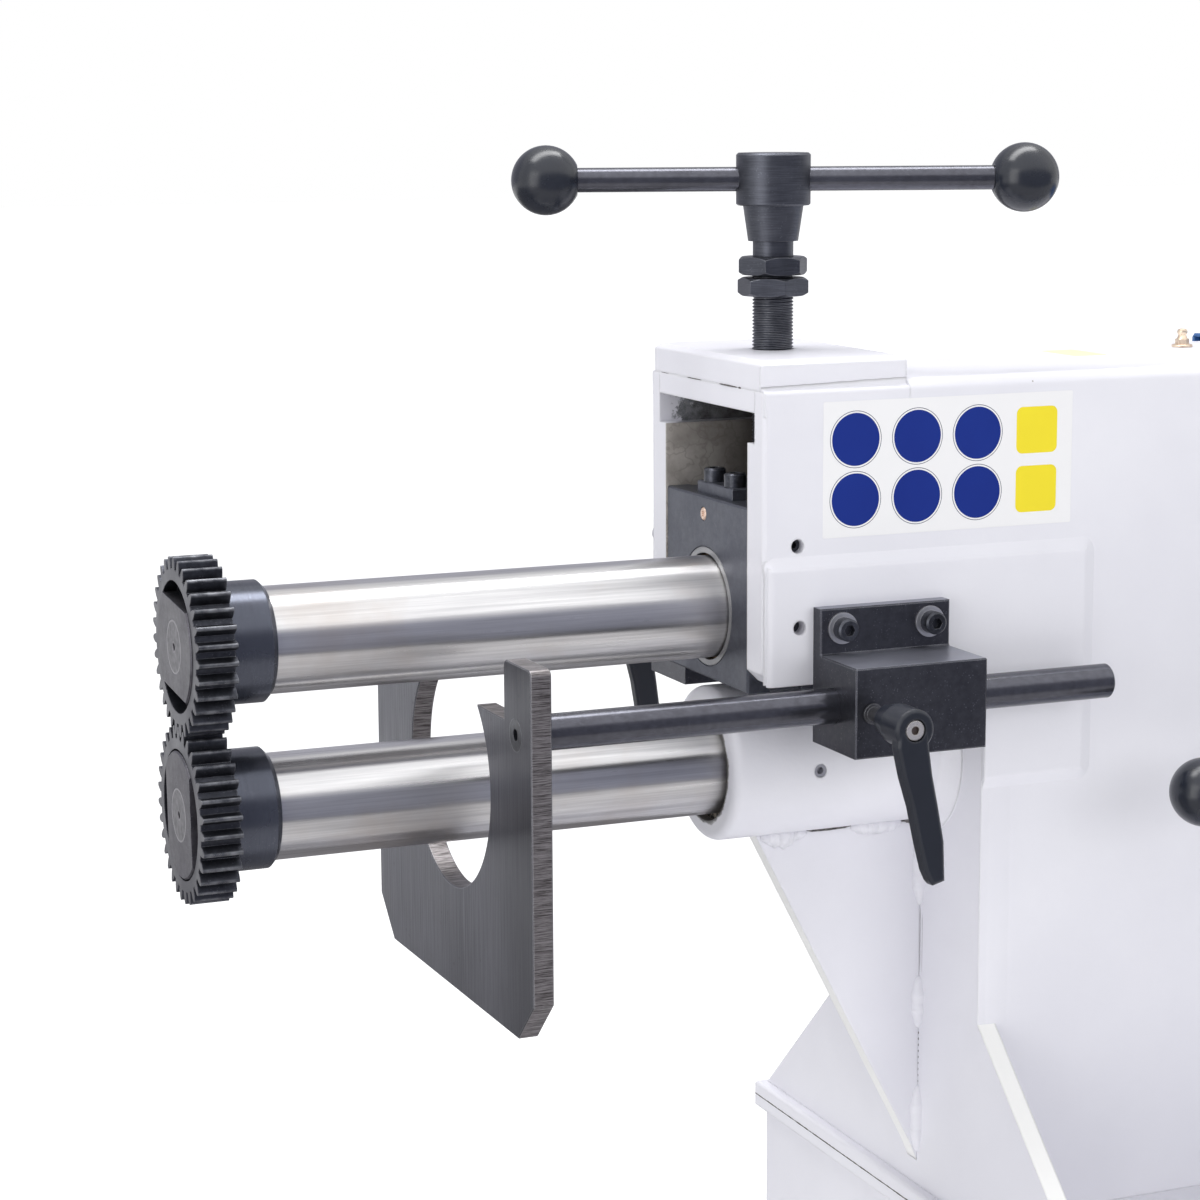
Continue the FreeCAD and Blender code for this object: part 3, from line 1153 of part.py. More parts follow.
# ---------------------------------------------------------------- brackets and clamp levers
def near_screw_places():
    z = BAR_Z + BRACKET_SCREW_Z
    return [(BRACKET_FRONT + BRACKET_SCREW_INSET, z), (BRACKET_REAR - BRACKET_SCREW_INSET, z)]


def far_screw_places():
    return [(x + FAR_OFFSET.x, z + FAR_OFFSET.z) for x, z in near_screw_places()]


def bracket():
    """The near bracket, before it is mirrored onto the near side."""
    back = box(BRACKET_FRONT, BRACKET_REAR, BRACKET_BACK_Y, BRACKET_BACK_Y + BRACKET_PLATE_T,
               BAR_Z - BRACKET_HALF_H, BAR_Z + BRACKET_PLATE_TOP)
    block = box(BRACKET_FRONT, BRACKET_REAR, BRACKET_BACK_Y, BRACKET_FACE_Y,
                BAR_Z - BRACKET_HALF_H, BAR_Z + BRACKET_HALF_H)
    piece = back.fuse(block).removeSplitter()
    front_edge = lambda edge: edge.BoundBox.YMin > BRACKET_BACK_Y + 1
    piece = bevel_where(piece, BRACKET_BREAK, front_edge)
    bore = rod_x(BRACKET_FRONT - CUT_PAST, BRACKET_REAR + CUT_PAST, BAR_R + SEAT_GAP, BAR_Y, BAR_Z)
    piece = piece.cut(bore)
    piece = piece.cut(rod_y(BAR_Y, BRACKET_FACE_Y + CUT_PAST, STUD_R + RUN_GAP, STUD_X, BAR_Z))
    for x, z in near_screw_places():
        piece = piece.cut(rod_y(BRACKET_BACK_Y - CUT_PAST, BRACKET_FACE_Y, M8_R + SEAT_GAP, x, z))
    return piece


def bracket_screw_set(places):
    solids = []
    seat_y = BRACKET_BACK_Y + BRACKET_PLATE_T
    for x, z in places:
        washer = rod_y(seat_y, seat_y + BRACKET_WASHER_T, BRACKET_WASHER_R, x, z)
        hole = rod_y(seat_y - CUT_PAST, seat_y + BRACKET_WASHER_T + CUT_PAST, M8_R + SEAT_GAP, x, z)
        place = V(x, seat_y + BRACKET_WASHER_T, z)
        length = BRACKET_PLATE_T + BRACKET_WASHER_T + PAD_T + BRACKET_SCREW_REACH
        solids += [washer.cut(hole), cap_screw(place, Y_AXIS, length)]
    return group(solids)


def bracket_screws():
    near = mirrored(bracket_screw_set(near_screw_places()))
    return group(bracket_screw_set(far_screw_places()).Solids + near.Solids)


def clamp_stud():
    """A bracket's clamping stud, with the screw that keeps the lever on it."""
    stud_end = LEVER_BACK_Y + STUD_GRIP
    stud = rod_y(BAR_Y + BAR_R + SIDE_GAP, stud_end, STUD_R, STUD_X, BAR_Z)
    collar_y = BRACKET_FACE_Y + SIDE_GAP
    stud = stud.fuse(rod_y(collar_y, collar_y + STUD_COLLAR_T, STUD_COLLAR_R, STUD_X, BAR_Z))
    head_end = LEVER_FRONT_Y - LEVER_SCREW_SUNK
    head_y = head_end - LEVER_SCREW_T
    head = rod_y(head_y, head_end, LEVER_SCREW_R, STUD_X, BAR_Z)
    head = bevel_where(head, LEVER_SCREW_BREAK, lambda edge: lies_at(edge, "Y", head_end))
    socket = rod_y(head_end - LEVER_SOCKET_DEPTH, head_end + CUT_PAST, LEVER_SOCKET_R, STUD_X, BAR_Z)
    shank = rod_y(stud_end, head_y, LEVER_SCREW_SHANK_R, STUD_X, BAR_Z)
    return group([stud, head.cut(socket).fuse(shank)])


def clamp_lever():
    """A bracket's lever: hub on the stud, curved arm hanging down."""
    hub = turned([
        (0, 0), (0, LEVER_HUB_BACK_R), (LEVER_HUB_LENGTH * LEVER_TAPER, LEVER_HUB_R),
        (LEVER_HUB_LENGTH - LEVER_HUB_BREAK, LEVER_HUB_R),
        (LEVER_HUB_LENGTH, LEVER_HUB_R - LEVER_HUB_BREAK), (LEVER_HUB_LENGTH, 0),
    ], V(STUD_X, LEVER_BACK_Y, BAR_Z), Y_AXIS, Z_AXIS)
    arm = prism([V(x, 0, z) for x, z in LEVER_ARM], V(0, LEVER_ARM_T, 0))
    face_edge = lambda edge: lies_at(edge, "Y", 0) or lies_at(edge, "Y", LEVER_ARM_T)
    arm = bevel_where(arm, LEVER_ARM_BREAK, face_edge)
    arm.rotate(V(0, LEVER_ARM_T, 0), X_AXIS, LEVER_SPLAY)
    arm.translate(V(STUD_X, LEVER_FRONT_Y - LEVER_ARM_T, BAR_Z))
    lever = hub.fuse(arm)
    room_end = LEVER_BACK_Y + STUD_ROOM
    lever = lever.cut(rod_y(LEVER_BACK_Y - CUT_PAST, room_end, STUD_R + RUN_GAP, STUD_X, BAR_Z))
    cup = LEVER_FRONT_Y - LEVER_CUP_DEPTH
    shank_room = rod_y(room_end - CUT_PAST, cup + CUT_PAST, LEVER_SCREW_SHANK_R + RUN_GAP, STUD_X, BAR_Z)
    lever = lever.cut(shank_room)
    return lever.cut(rod_y(cup, LEVER_FRONT_Y + CUT_PAST, LEVER_SCREW_R + FREE_GAP, STUD_X, BAR_Z))


def on_far_side(shape):
    """The same piece at the far bracket's place."""
    moved = shape.copy()
    moved.translate(FAR_OFFSET)
    return moved


# ---------------------------------------------------------------- drive unit and rear hood
def gearmotor():
    """Right-angle reducer on the column's rear plate, with its motor hanging under it."""
    return group([reducer(), motor()])


def reducer():
    case = box(REDUCER_X, REDUCER_REAR, -REDUCER_HALF_W, REDUCER_HALF_W,
               LOWER_Z - REDUCER_HALF_H, LOWER_Z + REDUCER_HALF_H)
    long_edge = lambda edge: edge.BoundBox.XLength > REDUCER_LENGTH - 1
    case = round_where(case, REDUCER_ROUND, long_edge)
    ring = rod_x(COLUMN_REAR, REDUCER_X, REDUCER_RING_R, 0, LOWER_Z)
    opening_r = REDUCER_RING_R - REDUCER_RING_WALL
    ring = ring.cut(rod_x(COLUMN_REAR - CUT_PAST, REDUCER_X + CUT_PAST, opening_r, 0, LOWER_Z))
    case = case.fuse(ring)
    return case.cut(rod_x(REDUCER_X - CUT_PAST, REDUCER_REAR + CUT_PAST, SLEEVE_R + RUN_GAP, 0, LOWER_Z))


def reducer_sleeve():
    """Hollow output shaft: it turns with the lower shaft, which slides in it on a key."""
    x0 = REDUCER_X - SLEEVE_PROUD
    x1 = REDUCER_REAR + SLEEVE_PROUD
    sleeve = rod_x(x0, x1, SLEEVE_R, 0, LOWER_Z)
    sleeve = sleeve.cut(rod_x(x0 - CUT_PAST, x1 + CUT_PAST, TAIL_R + RUN_GAP, 0, LOWER_Z))
    half_w = KEY_W / 2 + KEY_SIDE_GAP
    keyway_top = LOWER_Z + TAIL_R + KEY_H + KEY_TOP_GAP
    keyway = box(x0 - CUT_PAST, x1 + CUT_PAST, -half_w, half_w, LOWER_Z, keyway_top)
    return sleeve.cut(keyway)


def motor():
    low = BASE_TOP + MOTOR_FLOOR_GAP
    flange = rod_z(MOTOR_TOP - MOTOR_FLANGE_T, MOTOR_TOP, MOTOR_FLANGE_R, MOTOR_X, 0)
    body = rod_z(low, MOTOR_TOP - MOTOR_FLANGE_T, MOTOR_R, MOTOR_X, 0)
    fin_top = MOTOR_TOP - MOTOR_FLANGE_T - FIN_DROP
    cuts = []
    for fin in range(MOTOR_FINS):
        groove = box(MOTOR_X + MOTOR_R - FIN_DEPTH, MOTOR_X + MOTOR_R + CUT_PAST, -FIN_W / 2, FIN_W / 2,
                     low + FIN_LOW, fin_top)
        groove.rotate(V(MOTOR_X, 0, 0), Z_AXIS, 360 * fin / MOTOR_FINS)
        cuts.append(groove)
    return body.cut(group(cuts)).fuse(flange)


def rear_hood():
    outer = box(HOOD_FRONT, HOOD_REAR, -HOOD_Y, HOOD_Y, BASE_TOP, HOOD_TOP)
    long_edge = lambda edge: lies_at(edge, "Z", HOOD_TOP) and edge.BoundBox.XLength > 10
    outer = bevel_where(outer, HOOD_BREAK, long_edge)
    inner = box(HOOD_FRONT - CUT_PAST, HOOD_REAR - HOOD_SHEET, -HOOD_INNER_Y, HOOD_INNER_Y,
                BASE_TOP - CUT_PAST, HOOD_UNDER)
    top_slot = LOWER_Z + SLOT_PITCH * (HOOD_SLOTS - 1) / 2
    slots = []
    for number in range(HOOD_SLOTS):
        z = top_slot - number * SLOT_PITCH
        slots.append(box(HOOD_REAR - HOOD_SHEET - CUT_PAST, HOOD_REAR + CUT_PAST,
                         -SLOT_HALF_L, SLOT_HALF_L, z - SLOT_HEIGHT / 2, z + SLOT_HEIGHT / 2))
    return outer.cut(inner).cut(group(slots))


# ---------------------------------------------------------------- electrics
def stop_place():
    return CONTROL_X + STOP_X, CONTROL_Z + CONTROL_HEIGHT / 2


def switch_place():
    return CONTROL_X + SWITCH_X, CONTROL_Z + CONTROL_HEIGHT / 2


def control_box():
    shell = box(CONTROL_X, CONTROL_X + CONTROL_LENGTH, -CONTROL_FACE_Y, -HALF_W,
                CONTROL_Z, CONTROL_Z + CONTROL_HEIGHT)
    shell = round_where(shell, CONTROL_ROUND, lambda edge: edge.BoundBox.YLength > CONTROL_DEPTH - 1)
    shell = bevel_where(shell, CONTROL_BREAK, lambda edge: lies_at(edge, "Y", -CONTROL_FACE_Y))
    for x, z in (stop_place(), switch_place()):
        deep = -CONTROL_FACE_Y + CONTROL_HOLE_DEPTH
        shell = shell.cut(rod_y(-CONTROL_FACE_Y - CUT_PAST, deep, STEM_R + FREE_GAP, x, z))
    return shell


def stop_button():
    x, z = stop_place()
    stem = rod_y(-CONTROL_FACE_Y - STOP_STEM_OUT, -CONTROL_FACE_Y + STEM_DEPTH, STEM_R, x, z)
    back = -CONTROL_FACE_Y - STOP_STROKE - SIDE_GAP
    head = turned(STOP_HEAD, V(x, back, z), V(0, -1, 0), Z_AXIS)
    return stem.fuse(head)


def switch_knob():
    x, z = switch_place()
    disc_back = -CONTROL_FACE_Y - SWITCH_GAP
    disc_front = disc_back - SWITCH_DISC_T
    grip_front = disc_front - SWITCH_GRIP_T
    stem = rod_y(disc_back, -CONTROL_FACE_Y + STEM_DEPTH, STEM_R, x, z)
    disc = rod_y(disc_front, disc_back, SWITCH_DISC_R, x, z)
    grip = box(x - SWITCH_GRIP_HALF_W, x + SWITCH_GRIP_HALF_W, grip_front, disc_front,
               z - SWITCH_GRIP_HALF_H, z + SWITCH_GRIP_HALF_H)
    grip = round_where(grip, SWITCH_GRIP_ROUND, lambda edge: lies_at(edge, "Y", grip_front))
    return stem.fuse(disc).fuse(grip)


def cable_gland():
    """Inlet for the supply cable, which is not part of the machine here."""
    x0 = HALF_L + CABINET_SHEET
    taper_z = GLAND_LENGTH - GLAND_TAPER
    spigot_end = -CABINET_SHEET - GLAND_SPIGOT_OUT
    body = hexagon_z(GLAND_HEX, 0, GLAND_HEX_T, 0, 0)
    dome = rod_z(GLAND_HEX_T, taper_z, GLAND_R, 0, 0)
    tip = Part.makeCone(GLAND_R, GLAND_TIP_R, GLAND_TAPER, V(0, 0, taper_z))
    spigot = rod_z(spigot_end, 0, GLAND_SPIGOT_R, 0, 0)
    bore = rod_z(spigot_end - CUT_PAST, GLAND_LENGTH + CUT_PAST, GLAND_BORE_R, 0, 0)
    gland = body.fuse(dome).fuse(tip).fuse(spigot).cut(bore)
    gland.Placement = FreeCAD.Placement(V(x0, GLAND_Y, GLAND_Z), FreeCAD.Rotation(Z_AXIS, X_AXIS))
    return gland


# ---------------------------------------------------------------- all nodes
NODES = {
    "floor_flange": floor_flange(),
    "cabinet_shell": cabinet_shell(),
    "cabinet_rear_panel": cabinet_rear_panel(),
    "base_plate": base_plate(),
    "near_side_plate": near_side_plate(),
    "far_side_plate": far_side_plate(),
    "head_cap": head_cap(),
    "feed_nut_block": feed_nut_block(),
    "body_top_plate": body_top_plate(),
    "column_front_plate": column_front_plate(),
    "column_rear_plate": column_rear_plate(),
    "web_gusset": web_gusset(),
    "side_pads": side_pads(),
    "lower_housing": lower_housing(),
    "lower_bushes": lower_bushes(),
    "trunnion_pins": trunnion_pins(),
    "yoke_gibs": yoke_gibs(),
    "set_screws": set_screws(),
    "near_bracket": mirrored(bracket()),
    "far_bracket": on_far_side(bracket()),
    "bracket_screws": bracket_screws(),
    "shift_bearing": shift_bearing(),
    "gearmotor": gearmotor(),
    "rear_hood": rear_hood(),
    "control_box": control_box(),
    "cable_gland": cable_gland(),
    "yoke_block": yoke_block(),
    "screw_keeper": screw_keeper(),
    "keeper_screws": keeper_screws(),
    "feed_screw": feed_screw(),
    "jam_nuts": jam_nuts(),
    "handle_hub": handle_hub(),
    "handle_bar": handle_bar(),
    "handle_balls": group([handle_ball(-1), handle_ball(1)]),
    "upper_front_bush": upper_front_bush(),
    "upper_swivel_block": upper_swivel_block(),
    "upper_shaft": upper_shaft(),
    "upper_collars": upper_collars(),
    "upper_roll": roll(UPPER_Z),
    "upper_roll_nut": roll_nut(UPPER_Z, UPPER_NUT_TURN),
    "upper_drive_gear": drive_gear(UPPER_Z),
    "shift_ring": shift_ring(),
    "lower_shaft": lower_shaft(),
    "lower_collars": lower_collars(),
    "lower_roll": roll(LOWER_Z),
    "lower_roll_nut": roll_nut(LOWER_Z, LOWER_NUT_TURN),
    "lower_drive_gear": drive_gear(LOWER_Z),
    "reducer_sleeve": reducer_sleeve(),
    "shift_shaft": shift_shaft(),
    "star_handle": star_handle(),
    "star_balls": star_balls(),
    "fence_bar": fence_bar(),
    "fence_plate": fence_plate(),
    "fence_bolt": fence_bolt(),
    "near_clamp_stud": mirrored(clamp_stud()),
    "near_clamp_lever": mirrored(clamp_lever()),
    "far_clamp_stud": on_far_side(clamp_stud()),
    "far_clamp_lever": on_far_side(clamp_lever()),
    "stop_button": stop_button(),
    "switch_knob": switch_knob(),
}


def main():
    os.makedirs("parts", exist_ok=True)
    for name, shape in NODES.items():
        shape.exportStep("parts/" + name + ".step")
        volume = round(shape.Volume / 1000, 1)
        print(name, len(shape.Solids), "solids,", volume, "cm3, valid", shape.isValid())


main()
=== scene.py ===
# %% [markdown]
# # A motor-driven ring roller
# The solids of the machine are already made and packed, each as its own mesh in metres. This lesson
# dresses them: it lights them, gives each one a finish built from texture nodes, and adds the small
# pieces that are too fine for the solids, such as screws, weld beads, a sticker and a real thread.
# Every piece rides on the body that carries it, so it follows when a joint moves.

# %% Load the solids
import math
import random

import bpy
from mathutils import Matrix, Vector, geometry


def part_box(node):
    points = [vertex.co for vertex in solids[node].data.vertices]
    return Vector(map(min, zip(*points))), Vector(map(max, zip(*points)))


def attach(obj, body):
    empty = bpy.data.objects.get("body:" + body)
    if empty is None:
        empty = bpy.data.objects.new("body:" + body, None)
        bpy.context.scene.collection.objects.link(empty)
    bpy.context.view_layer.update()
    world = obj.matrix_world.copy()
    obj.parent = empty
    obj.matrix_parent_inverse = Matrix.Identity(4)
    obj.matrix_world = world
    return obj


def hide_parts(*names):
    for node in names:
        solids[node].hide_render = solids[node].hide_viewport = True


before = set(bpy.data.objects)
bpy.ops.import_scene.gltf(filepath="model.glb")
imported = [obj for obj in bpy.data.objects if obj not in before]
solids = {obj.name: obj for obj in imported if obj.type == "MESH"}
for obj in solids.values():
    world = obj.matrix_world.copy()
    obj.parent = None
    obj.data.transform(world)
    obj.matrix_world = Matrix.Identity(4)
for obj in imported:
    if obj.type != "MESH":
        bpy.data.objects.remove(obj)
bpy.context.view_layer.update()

# %% [markdown]
# ## The camera
# The camera stands at the operator's side, in front of the rolls, a little above them. A camera in
# Blender looks along its own -Z axis, so its rotation can be written straight down as three columns:
# what is to its right, what is up, and what lies behind it. That is surer than stacking angles.

# %% Place the camera
CAMERA_PLACE = Vector((-1.09541, -1.53881, 1.42245))
CAMERA_YAW = math.radians(22.51)
CAMERA_PITCH = math.radians(9.63)
CAMERA_ROLL = math.radians(0.33)
LENS_PER_FRAME = 2933 / 1200

ahead = Vector((math.sin(CAMERA_YAW) * math.cos(CAMERA_PITCH),
                math.cos(CAMERA_YAW) * math.cos(CAMERA_PITCH),
                -math.sin(CAMERA_PITCH)))
level = Vector((math.cos(CAMERA_YAW), -math.sin(CAMERA_YAW), 0))
down = ahead.cross(level)
to_right = level * math.cos(CAMERA_ROLL) + down * math.sin(CAMERA_ROLL)
to_down = down * math.cos(CAMERA_ROLL) - level * math.sin(CAMERA_ROLL)
columns = Matrix((to_right, -to_down, -ahead)).transposed()

camera = bpy.data.objects.new("camera", bpy.data.cameras.new("camera"))
bpy.context.scene.collection.objects.link(camera)
camera.data.sensor_width = 36.0
camera.data.lens = 36.0 * LENS_PER_FRAME
camera.matrix_world = Matrix.Translation(CAMERA_PLACE) @ columns.to_4x4()
bpy.context.scene.camera = camera
bpy.context.scene.view_settings.view_transform = "Standard"
print("lens:", round(camera.data.lens, 1), "mm")

# %% [markdown]
# ## The studio
# A white room: a pale floor that keeps the machine's shadow, and a world that is plain white where the
# camera or a reflection sees it. The floor gets a little glow of its own for those rays only, so that
# it meets the white behind it without a visible horizon. The world lights the machine from all sides
# at a lower strength, and soft lamps above, to the left and on the near side shape it.

# %% Helpers for the room
def placed(name, data):
    """Puts a mesh, a lamp or a camera into the scene."""
    thing = bpy.data.objects.new(name, data)
    bpy.context.scene.collection.objects.link(thing)
    return thing


def card(name, corners, material):
    """A rectangle with a finish."""
    mesh = bpy.data.meshes.new(name)
    mesh.from_pydata(corners, [], [(0, 1, 2, 3)])
    mesh.materials.append(material)
    sheet = placed(name, mesh)
    return sheet


def seen_directly(nodes, links):
    """1 for rays from the camera, a reflection or a pane of glass, and 0 for rays that light things."""
    ray = nodes.new("ShaderNodeLightPath")
    share = ray.outputs["Is Camera Ray"]
    for kind in ("Is Glossy Ray", "Is Transmission Ray"):
        either = nodes.new("ShaderNodeMath")
        either.operation = "MAXIMUM"
        links.new(share, either.inputs[0])
        links.new(ray.outputs[kind], either.inputs[1])
        share = either.outputs[0]
    return share


print("room helpers ready")

# %% [markdown]
# The floor's glow is its own colour times the share of rays that see it. The world is a mix of two
# backgrounds, and the same share picks which of the two a ray gets.

# %% Floor and world
FLOOR_HALF = 40.0
FLOOR_GLOW = 0.5
ROOM_LIGHT = 0.68

floor_paint = bpy.data.materials.new("floor_paint")
floor_paint.use_nodes = True
floor_nodes = floor_paint.node_tree.nodes
floor_links = floor_paint.node_tree.links
floor_shader = floor_nodes["Principled BSDF"]
floor_shader.inputs["Base Color"].default_value = (0.93, 0.93, 0.93, 1)
floor_shader.inputs["Roughness"].default_value = 0.9
floor_shader.inputs["Emission Color"].default_value = (1, 1, 1, 1)
floor_glow = floor_nodes.new("ShaderNodeMath")
floor_glow.operation = "MULTIPLY"
floor_glow.inputs[1].default_value = FLOOR_GLOW
floor_links.new(seen_directly(floor_nodes, floor_links), floor_glow.inputs[0])
floor_links.new(floor_glow.outputs[0], floor_shader.inputs["Emission Strength"])
card("floor", [(-FLOOR_HALF, -FLOOR_HALF, 0), (FLOOR_HALF, -FLOOR_HALF, 0),
               (FLOOR_HALF, FLOOR_HALF, 0), (-FLOOR_HALF, FLOOR_HALF, 0)], floor_paint)

world = bpy.data.worlds.new("white_room")
bpy.context.scene.world = world
world.use_nodes = True
world_nodes = world.node_tree.nodes
world_links = world.node_tree.links
room = world_nodes["Background"]
room.inputs["Color"].default_value = (0.97, 0.98, 1.0, 1)
room.inputs["Strength"].default_value = ROOM_LIGHT
seen = world_nodes.new("ShaderNodeBackground")
seen.inputs["Color"].default_value = (1, 1, 1, 1)
seen.inputs["Strength"].default_value = 1.0
choose = world_nodes.new("ShaderNodeMixShader")
world_links.new(seen_directly(world_nodes, world_links), choose.inputs[0])
world_links.new(room.outputs[0], choose.inputs[1])
world_links.new(seen.outputs[0], choose.inputs[2])
world_links.new(choose.outputs[0], world_nodes["World Output"].inputs["Surface"])
print("room light:", ROOM_LIGHT)

# %% [markdown]
# ## Lamps and dark flags
# Ground steel is a mirror: it shows the room and nothing else. In a room that is white all over it
# looks like white plastic. Photographers hang cards, called flags, where the steel should be darker.
# A round shaft mirrors the whole room in strips: its top edge shows what is behind, its upper half
# the ceiling, its middle what stands in front, and its lower half the floor. So each strip of the
# shaft is set by one card here. The cards are seen in reflections only and take no light away. The
# near lamp is left out of reflections: it would lie as a second white strip along the shafts.

# %% Hang the lamps and the flags
AIM = Vector((-0.35, 0.0, 1.1))
FLAG_X = (-5, 7)


def soft_lamp(name, place, width, height, watts, tint):
    """A rectangular lamp that points at the middle of the machine's head."""
    data = bpy.data.lights.new(name, "AREA")
    data.shape = "RECTANGLE"
    data.size = width
    data.size_y = height
    data.energy = watts
    data.color = tint
    lamp = placed(name, data)
    lamp.location = place
    lamp.rotation_euler = (AIM - Vector(place)).to_track_quat("-Z", "Y").to_euler()
    return lamp


def flag(name, from_y, from_z, to_y, to_z, colour):
    """A plain card along the shafts, seen in reflections only."""
    material = bpy.data.materials.new(name)
    material.use_nodes = True
    nodes = material.node_tree.nodes
    nodes.remove(nodes["Principled BSDF"])
    glow = nodes.new("ShaderNodeEmission")
    glow.inputs["Color"].default_value = (*colour, 1)
    material.node_tree.links.new(glow.outputs[0], nodes["Material Output"].inputs["Surface"])
    sheet = card(name, [(FLAG_X[0], from_y, from_z), (FLAG_X[1], from_y, from_z),
                        (FLAG_X[1], to_y, to_z), (FLAG_X[0], to_y, to_z)], material)
    sheet.visible_camera = False
    sheet.visible_diffuse = False
    sheet.visible_shadow = False
    sheet.visible_transmission = False


soft_lamp("overhead_lamp", (-0.4, 0.45, 3.6), 3.2, 0.8, 62, (1, 1, 1))
soft_lamp("left_lamp", (-3.2, -1.4, 1.6), 1.8, 2.6, 27, (1, 0.995, 0.985))
near_lamp = soft_lamp("near_lamp", (0.5, -3.5, 2.0), 3.0, 1.8, 34, (1, 1, 1))
near_lamp.visible_glossy = False
flag("behind_flag", 3.4, 0.9, 3.4, 4.4, (0.50, 0.50, 0.56))
flag("ceiling_card", -2.6, 2.75, -0.2, 4.2, (1.46, 1.46, 1.47))
flag("front_fade", -2.6, 2.30, -2.6, 2.75, (0.62, 0.62, 0.67))
flag("front_flag", -2.6, 0.0, -2.6, 2.30, (0.27, 0.28, 0.35))
flag("skirting_flag", -2.6, 0.01, -2.30, 0.01, (0.06, 0.06, 0.07))
flag("floor_flag", -2.30, 0.01, -0.25, 0.01, (0.77, 0.755, 0.765))
flag("under_flag", -0.25, 0.01, 3.4, 0.01, (0.24, 0.235, 0.25))
print("lamps and flags hung")

# %% [markdown]
# ## A workbench for finishes
# Every finish here is a graph of texture nodes. They all read object coordinates, which are metres on
# the piece itself, so a noise scale of 300 means grains about 3 mm apart and nothing slides when a
# piece moves. The class below only saves typing: each method adds one node and returns its output.

# %% The workbench


class Finish:
    """A material under construction."""

    def __init__(self, name, colour, metallic, roughness):
        self.material = bpy.data.materials.new(name)
        self.material.use_nodes = True
        self.nodes = self.material.node_tree.nodes
        self.links = self.material.node_tree.links
        self.shader = self.nodes["Principled BSDF"]
        self.shader.inputs["Base Color"].default_value = (*colour, 1)
        self.shader.inputs["Metallic"].default_value = metallic
        self.shader.inputs["Roughness"].default_value = roughness
        self.place = self.nodes.new("ShaderNodeTexCoord").outputs["Object"]

    def feed(self, socket, value):
        """Links a node's output to a socket, or writes a plain value into it."""
        if isinstance(value, bpy.types.NodeSocket):
            self.links.new(value, socket)
        else:
            socket.default_value = value

    def maths(self, operation, first, second=0.0, third=0.0):
        """One sum on outputs or plain numbers."""
        node = self.nodes.new("ShaderNodeMath")
        node.operation = operation
        for socket, value in zip(node.inputs, (first, second, third)):
            self.feed(socket, value)
        return node.outputs[0]

    def times(self, first, second):
        return self.maths("MULTIPLY", first, second)

    def plus(self, first, second):
        return self.maths("ADD", first, second)

    def apart(self, first, second):
        """How far two values lie from each other."""
        return self.maths("ABSOLUTE", self.maths("SUBTRACT", first, second))

    def noise(self, scale, detail=3.0, roughness=0.5, vector=None):
        """Soft noise, mostly between 0.3 and 0.7."""
        node = self.nodes.new("ShaderNodeTexNoise")
        self.feed(node.inputs["Vector"], vector or self.place)
        node.inputs["Scale"].default_value = scale
        node.inputs["Detail"].default_value = detail
        node.inputs["Roughness"].default_value = roughness
        return node.outputs["Fac"]

    def grain(self, scale, detail, roughness):
        """Noise with a scale for each axis: low along the marks of a tool, high across them."""
        node = self.nodes.new("ShaderNodeVectorMath")
        node.operation = "MULTIPLY"
        self.feed(node.inputs[0], self.place)
        node.inputs[1].default_value = scale
        return self.noise(1.0, detail, roughness, node.outputs[0])

    def cells(self, scale):
        """Distance to the nearest of many scattered points: small at a speck's middle."""
        node = self.nodes.new("ShaderNodeTexVoronoi")
        self.feed(node.inputs["Vector"], self.place)
        node.inputs["Scale"].default_value = scale
        return node.outputs["Distance"]

    def spread(self, value, low, high, to_low=0.0, to_high=1.0):
        """Maps low..high to to_low..to_high and clips what lies outside."""
        node = self.nodes.new("ShaderNodeMapRange")
        self.feed(node.inputs["Value"], value)
        node.inputs["From Min"].default_value = low
        node.inputs["From Max"].default_value = high
        node.inputs["To Min"].default_value = to_low
        node.inputs["To Max"].default_value = to_high
        return node.outputs["Result"]

    def between(self, value, low, high, soft=0.0001):
        """1 where the value lies between low and high, with soft edges."""
        return self.times(self.spread(value, low, low + soft), self.spread(value, high, high - soft))

    def mixed(self, share, first, second):
        """A colour between two colours."""
        node = self.nodes.new("ShaderNodeMix")
        node.data_type = "RGBA"
        self.feed(node.inputs[0], share)
        for socket, value in ((node.inputs[6], first), (node.inputs[7], second)):
            self.feed(socket, (*value, 1) if isinstance(value, tuple) else value)
        return node.outputs[2]

    def part(self, axis):
        """One coordinate of the piece's place, in metres."""
        node = self.nodes.new("ShaderNodeSeparateXYZ")
        self.feed(node.inputs[0], self.place)
        return node.outputs[axis]

    def off_middle(self):
        """Distance from the machine's middle plane, in metres."""
        return self.maths("ABSOLUTE", self.part("Y"))

    def off_axis(self, axis_z):
        """Distance from a shaft's axis, which runs along X at that height, in metres."""
        up, across = self.maths("SUBTRACT", self.part("Z"), axis_z), self.part("Y")
        return self.maths("SQRT", self.plus(self.times(up, up), self.times(across, across)))

    def facing_up(self):
        """1 on a level top, 0 on a wall and -1 on a level underside."""
        node = self.nodes.new("ShaderNodeSeparateXYZ")
        self.feed(node.inputs[0], self.nodes.new("ShaderNodeNewGeometry").outputs["Normal"])
        return node.outputs["Z"]

    def worn_edge(self, radius, gain):
        """Near 1 along outer and inner edges, 0 on flats: how far a rounded normal turns away."""
        rounded = self.nodes.new("ShaderNodeBevel")
        rounded.samples = 4
        rounded.inputs["Radius"].default_value = radius
        flat = self.nodes.new("ShaderNodeNewGeometry")
        dot = self.nodes.new("ShaderNodeVectorMath")
        dot.operation = "DOT_PRODUCT"
        self.feed(dot.inputs[0], rounded.outputs[0])
        self.feed(dot.inputs[1], flat.outputs["Normal"])
        return self.spread(dot.outputs["Value"], 1.0, 1.0 - gain)

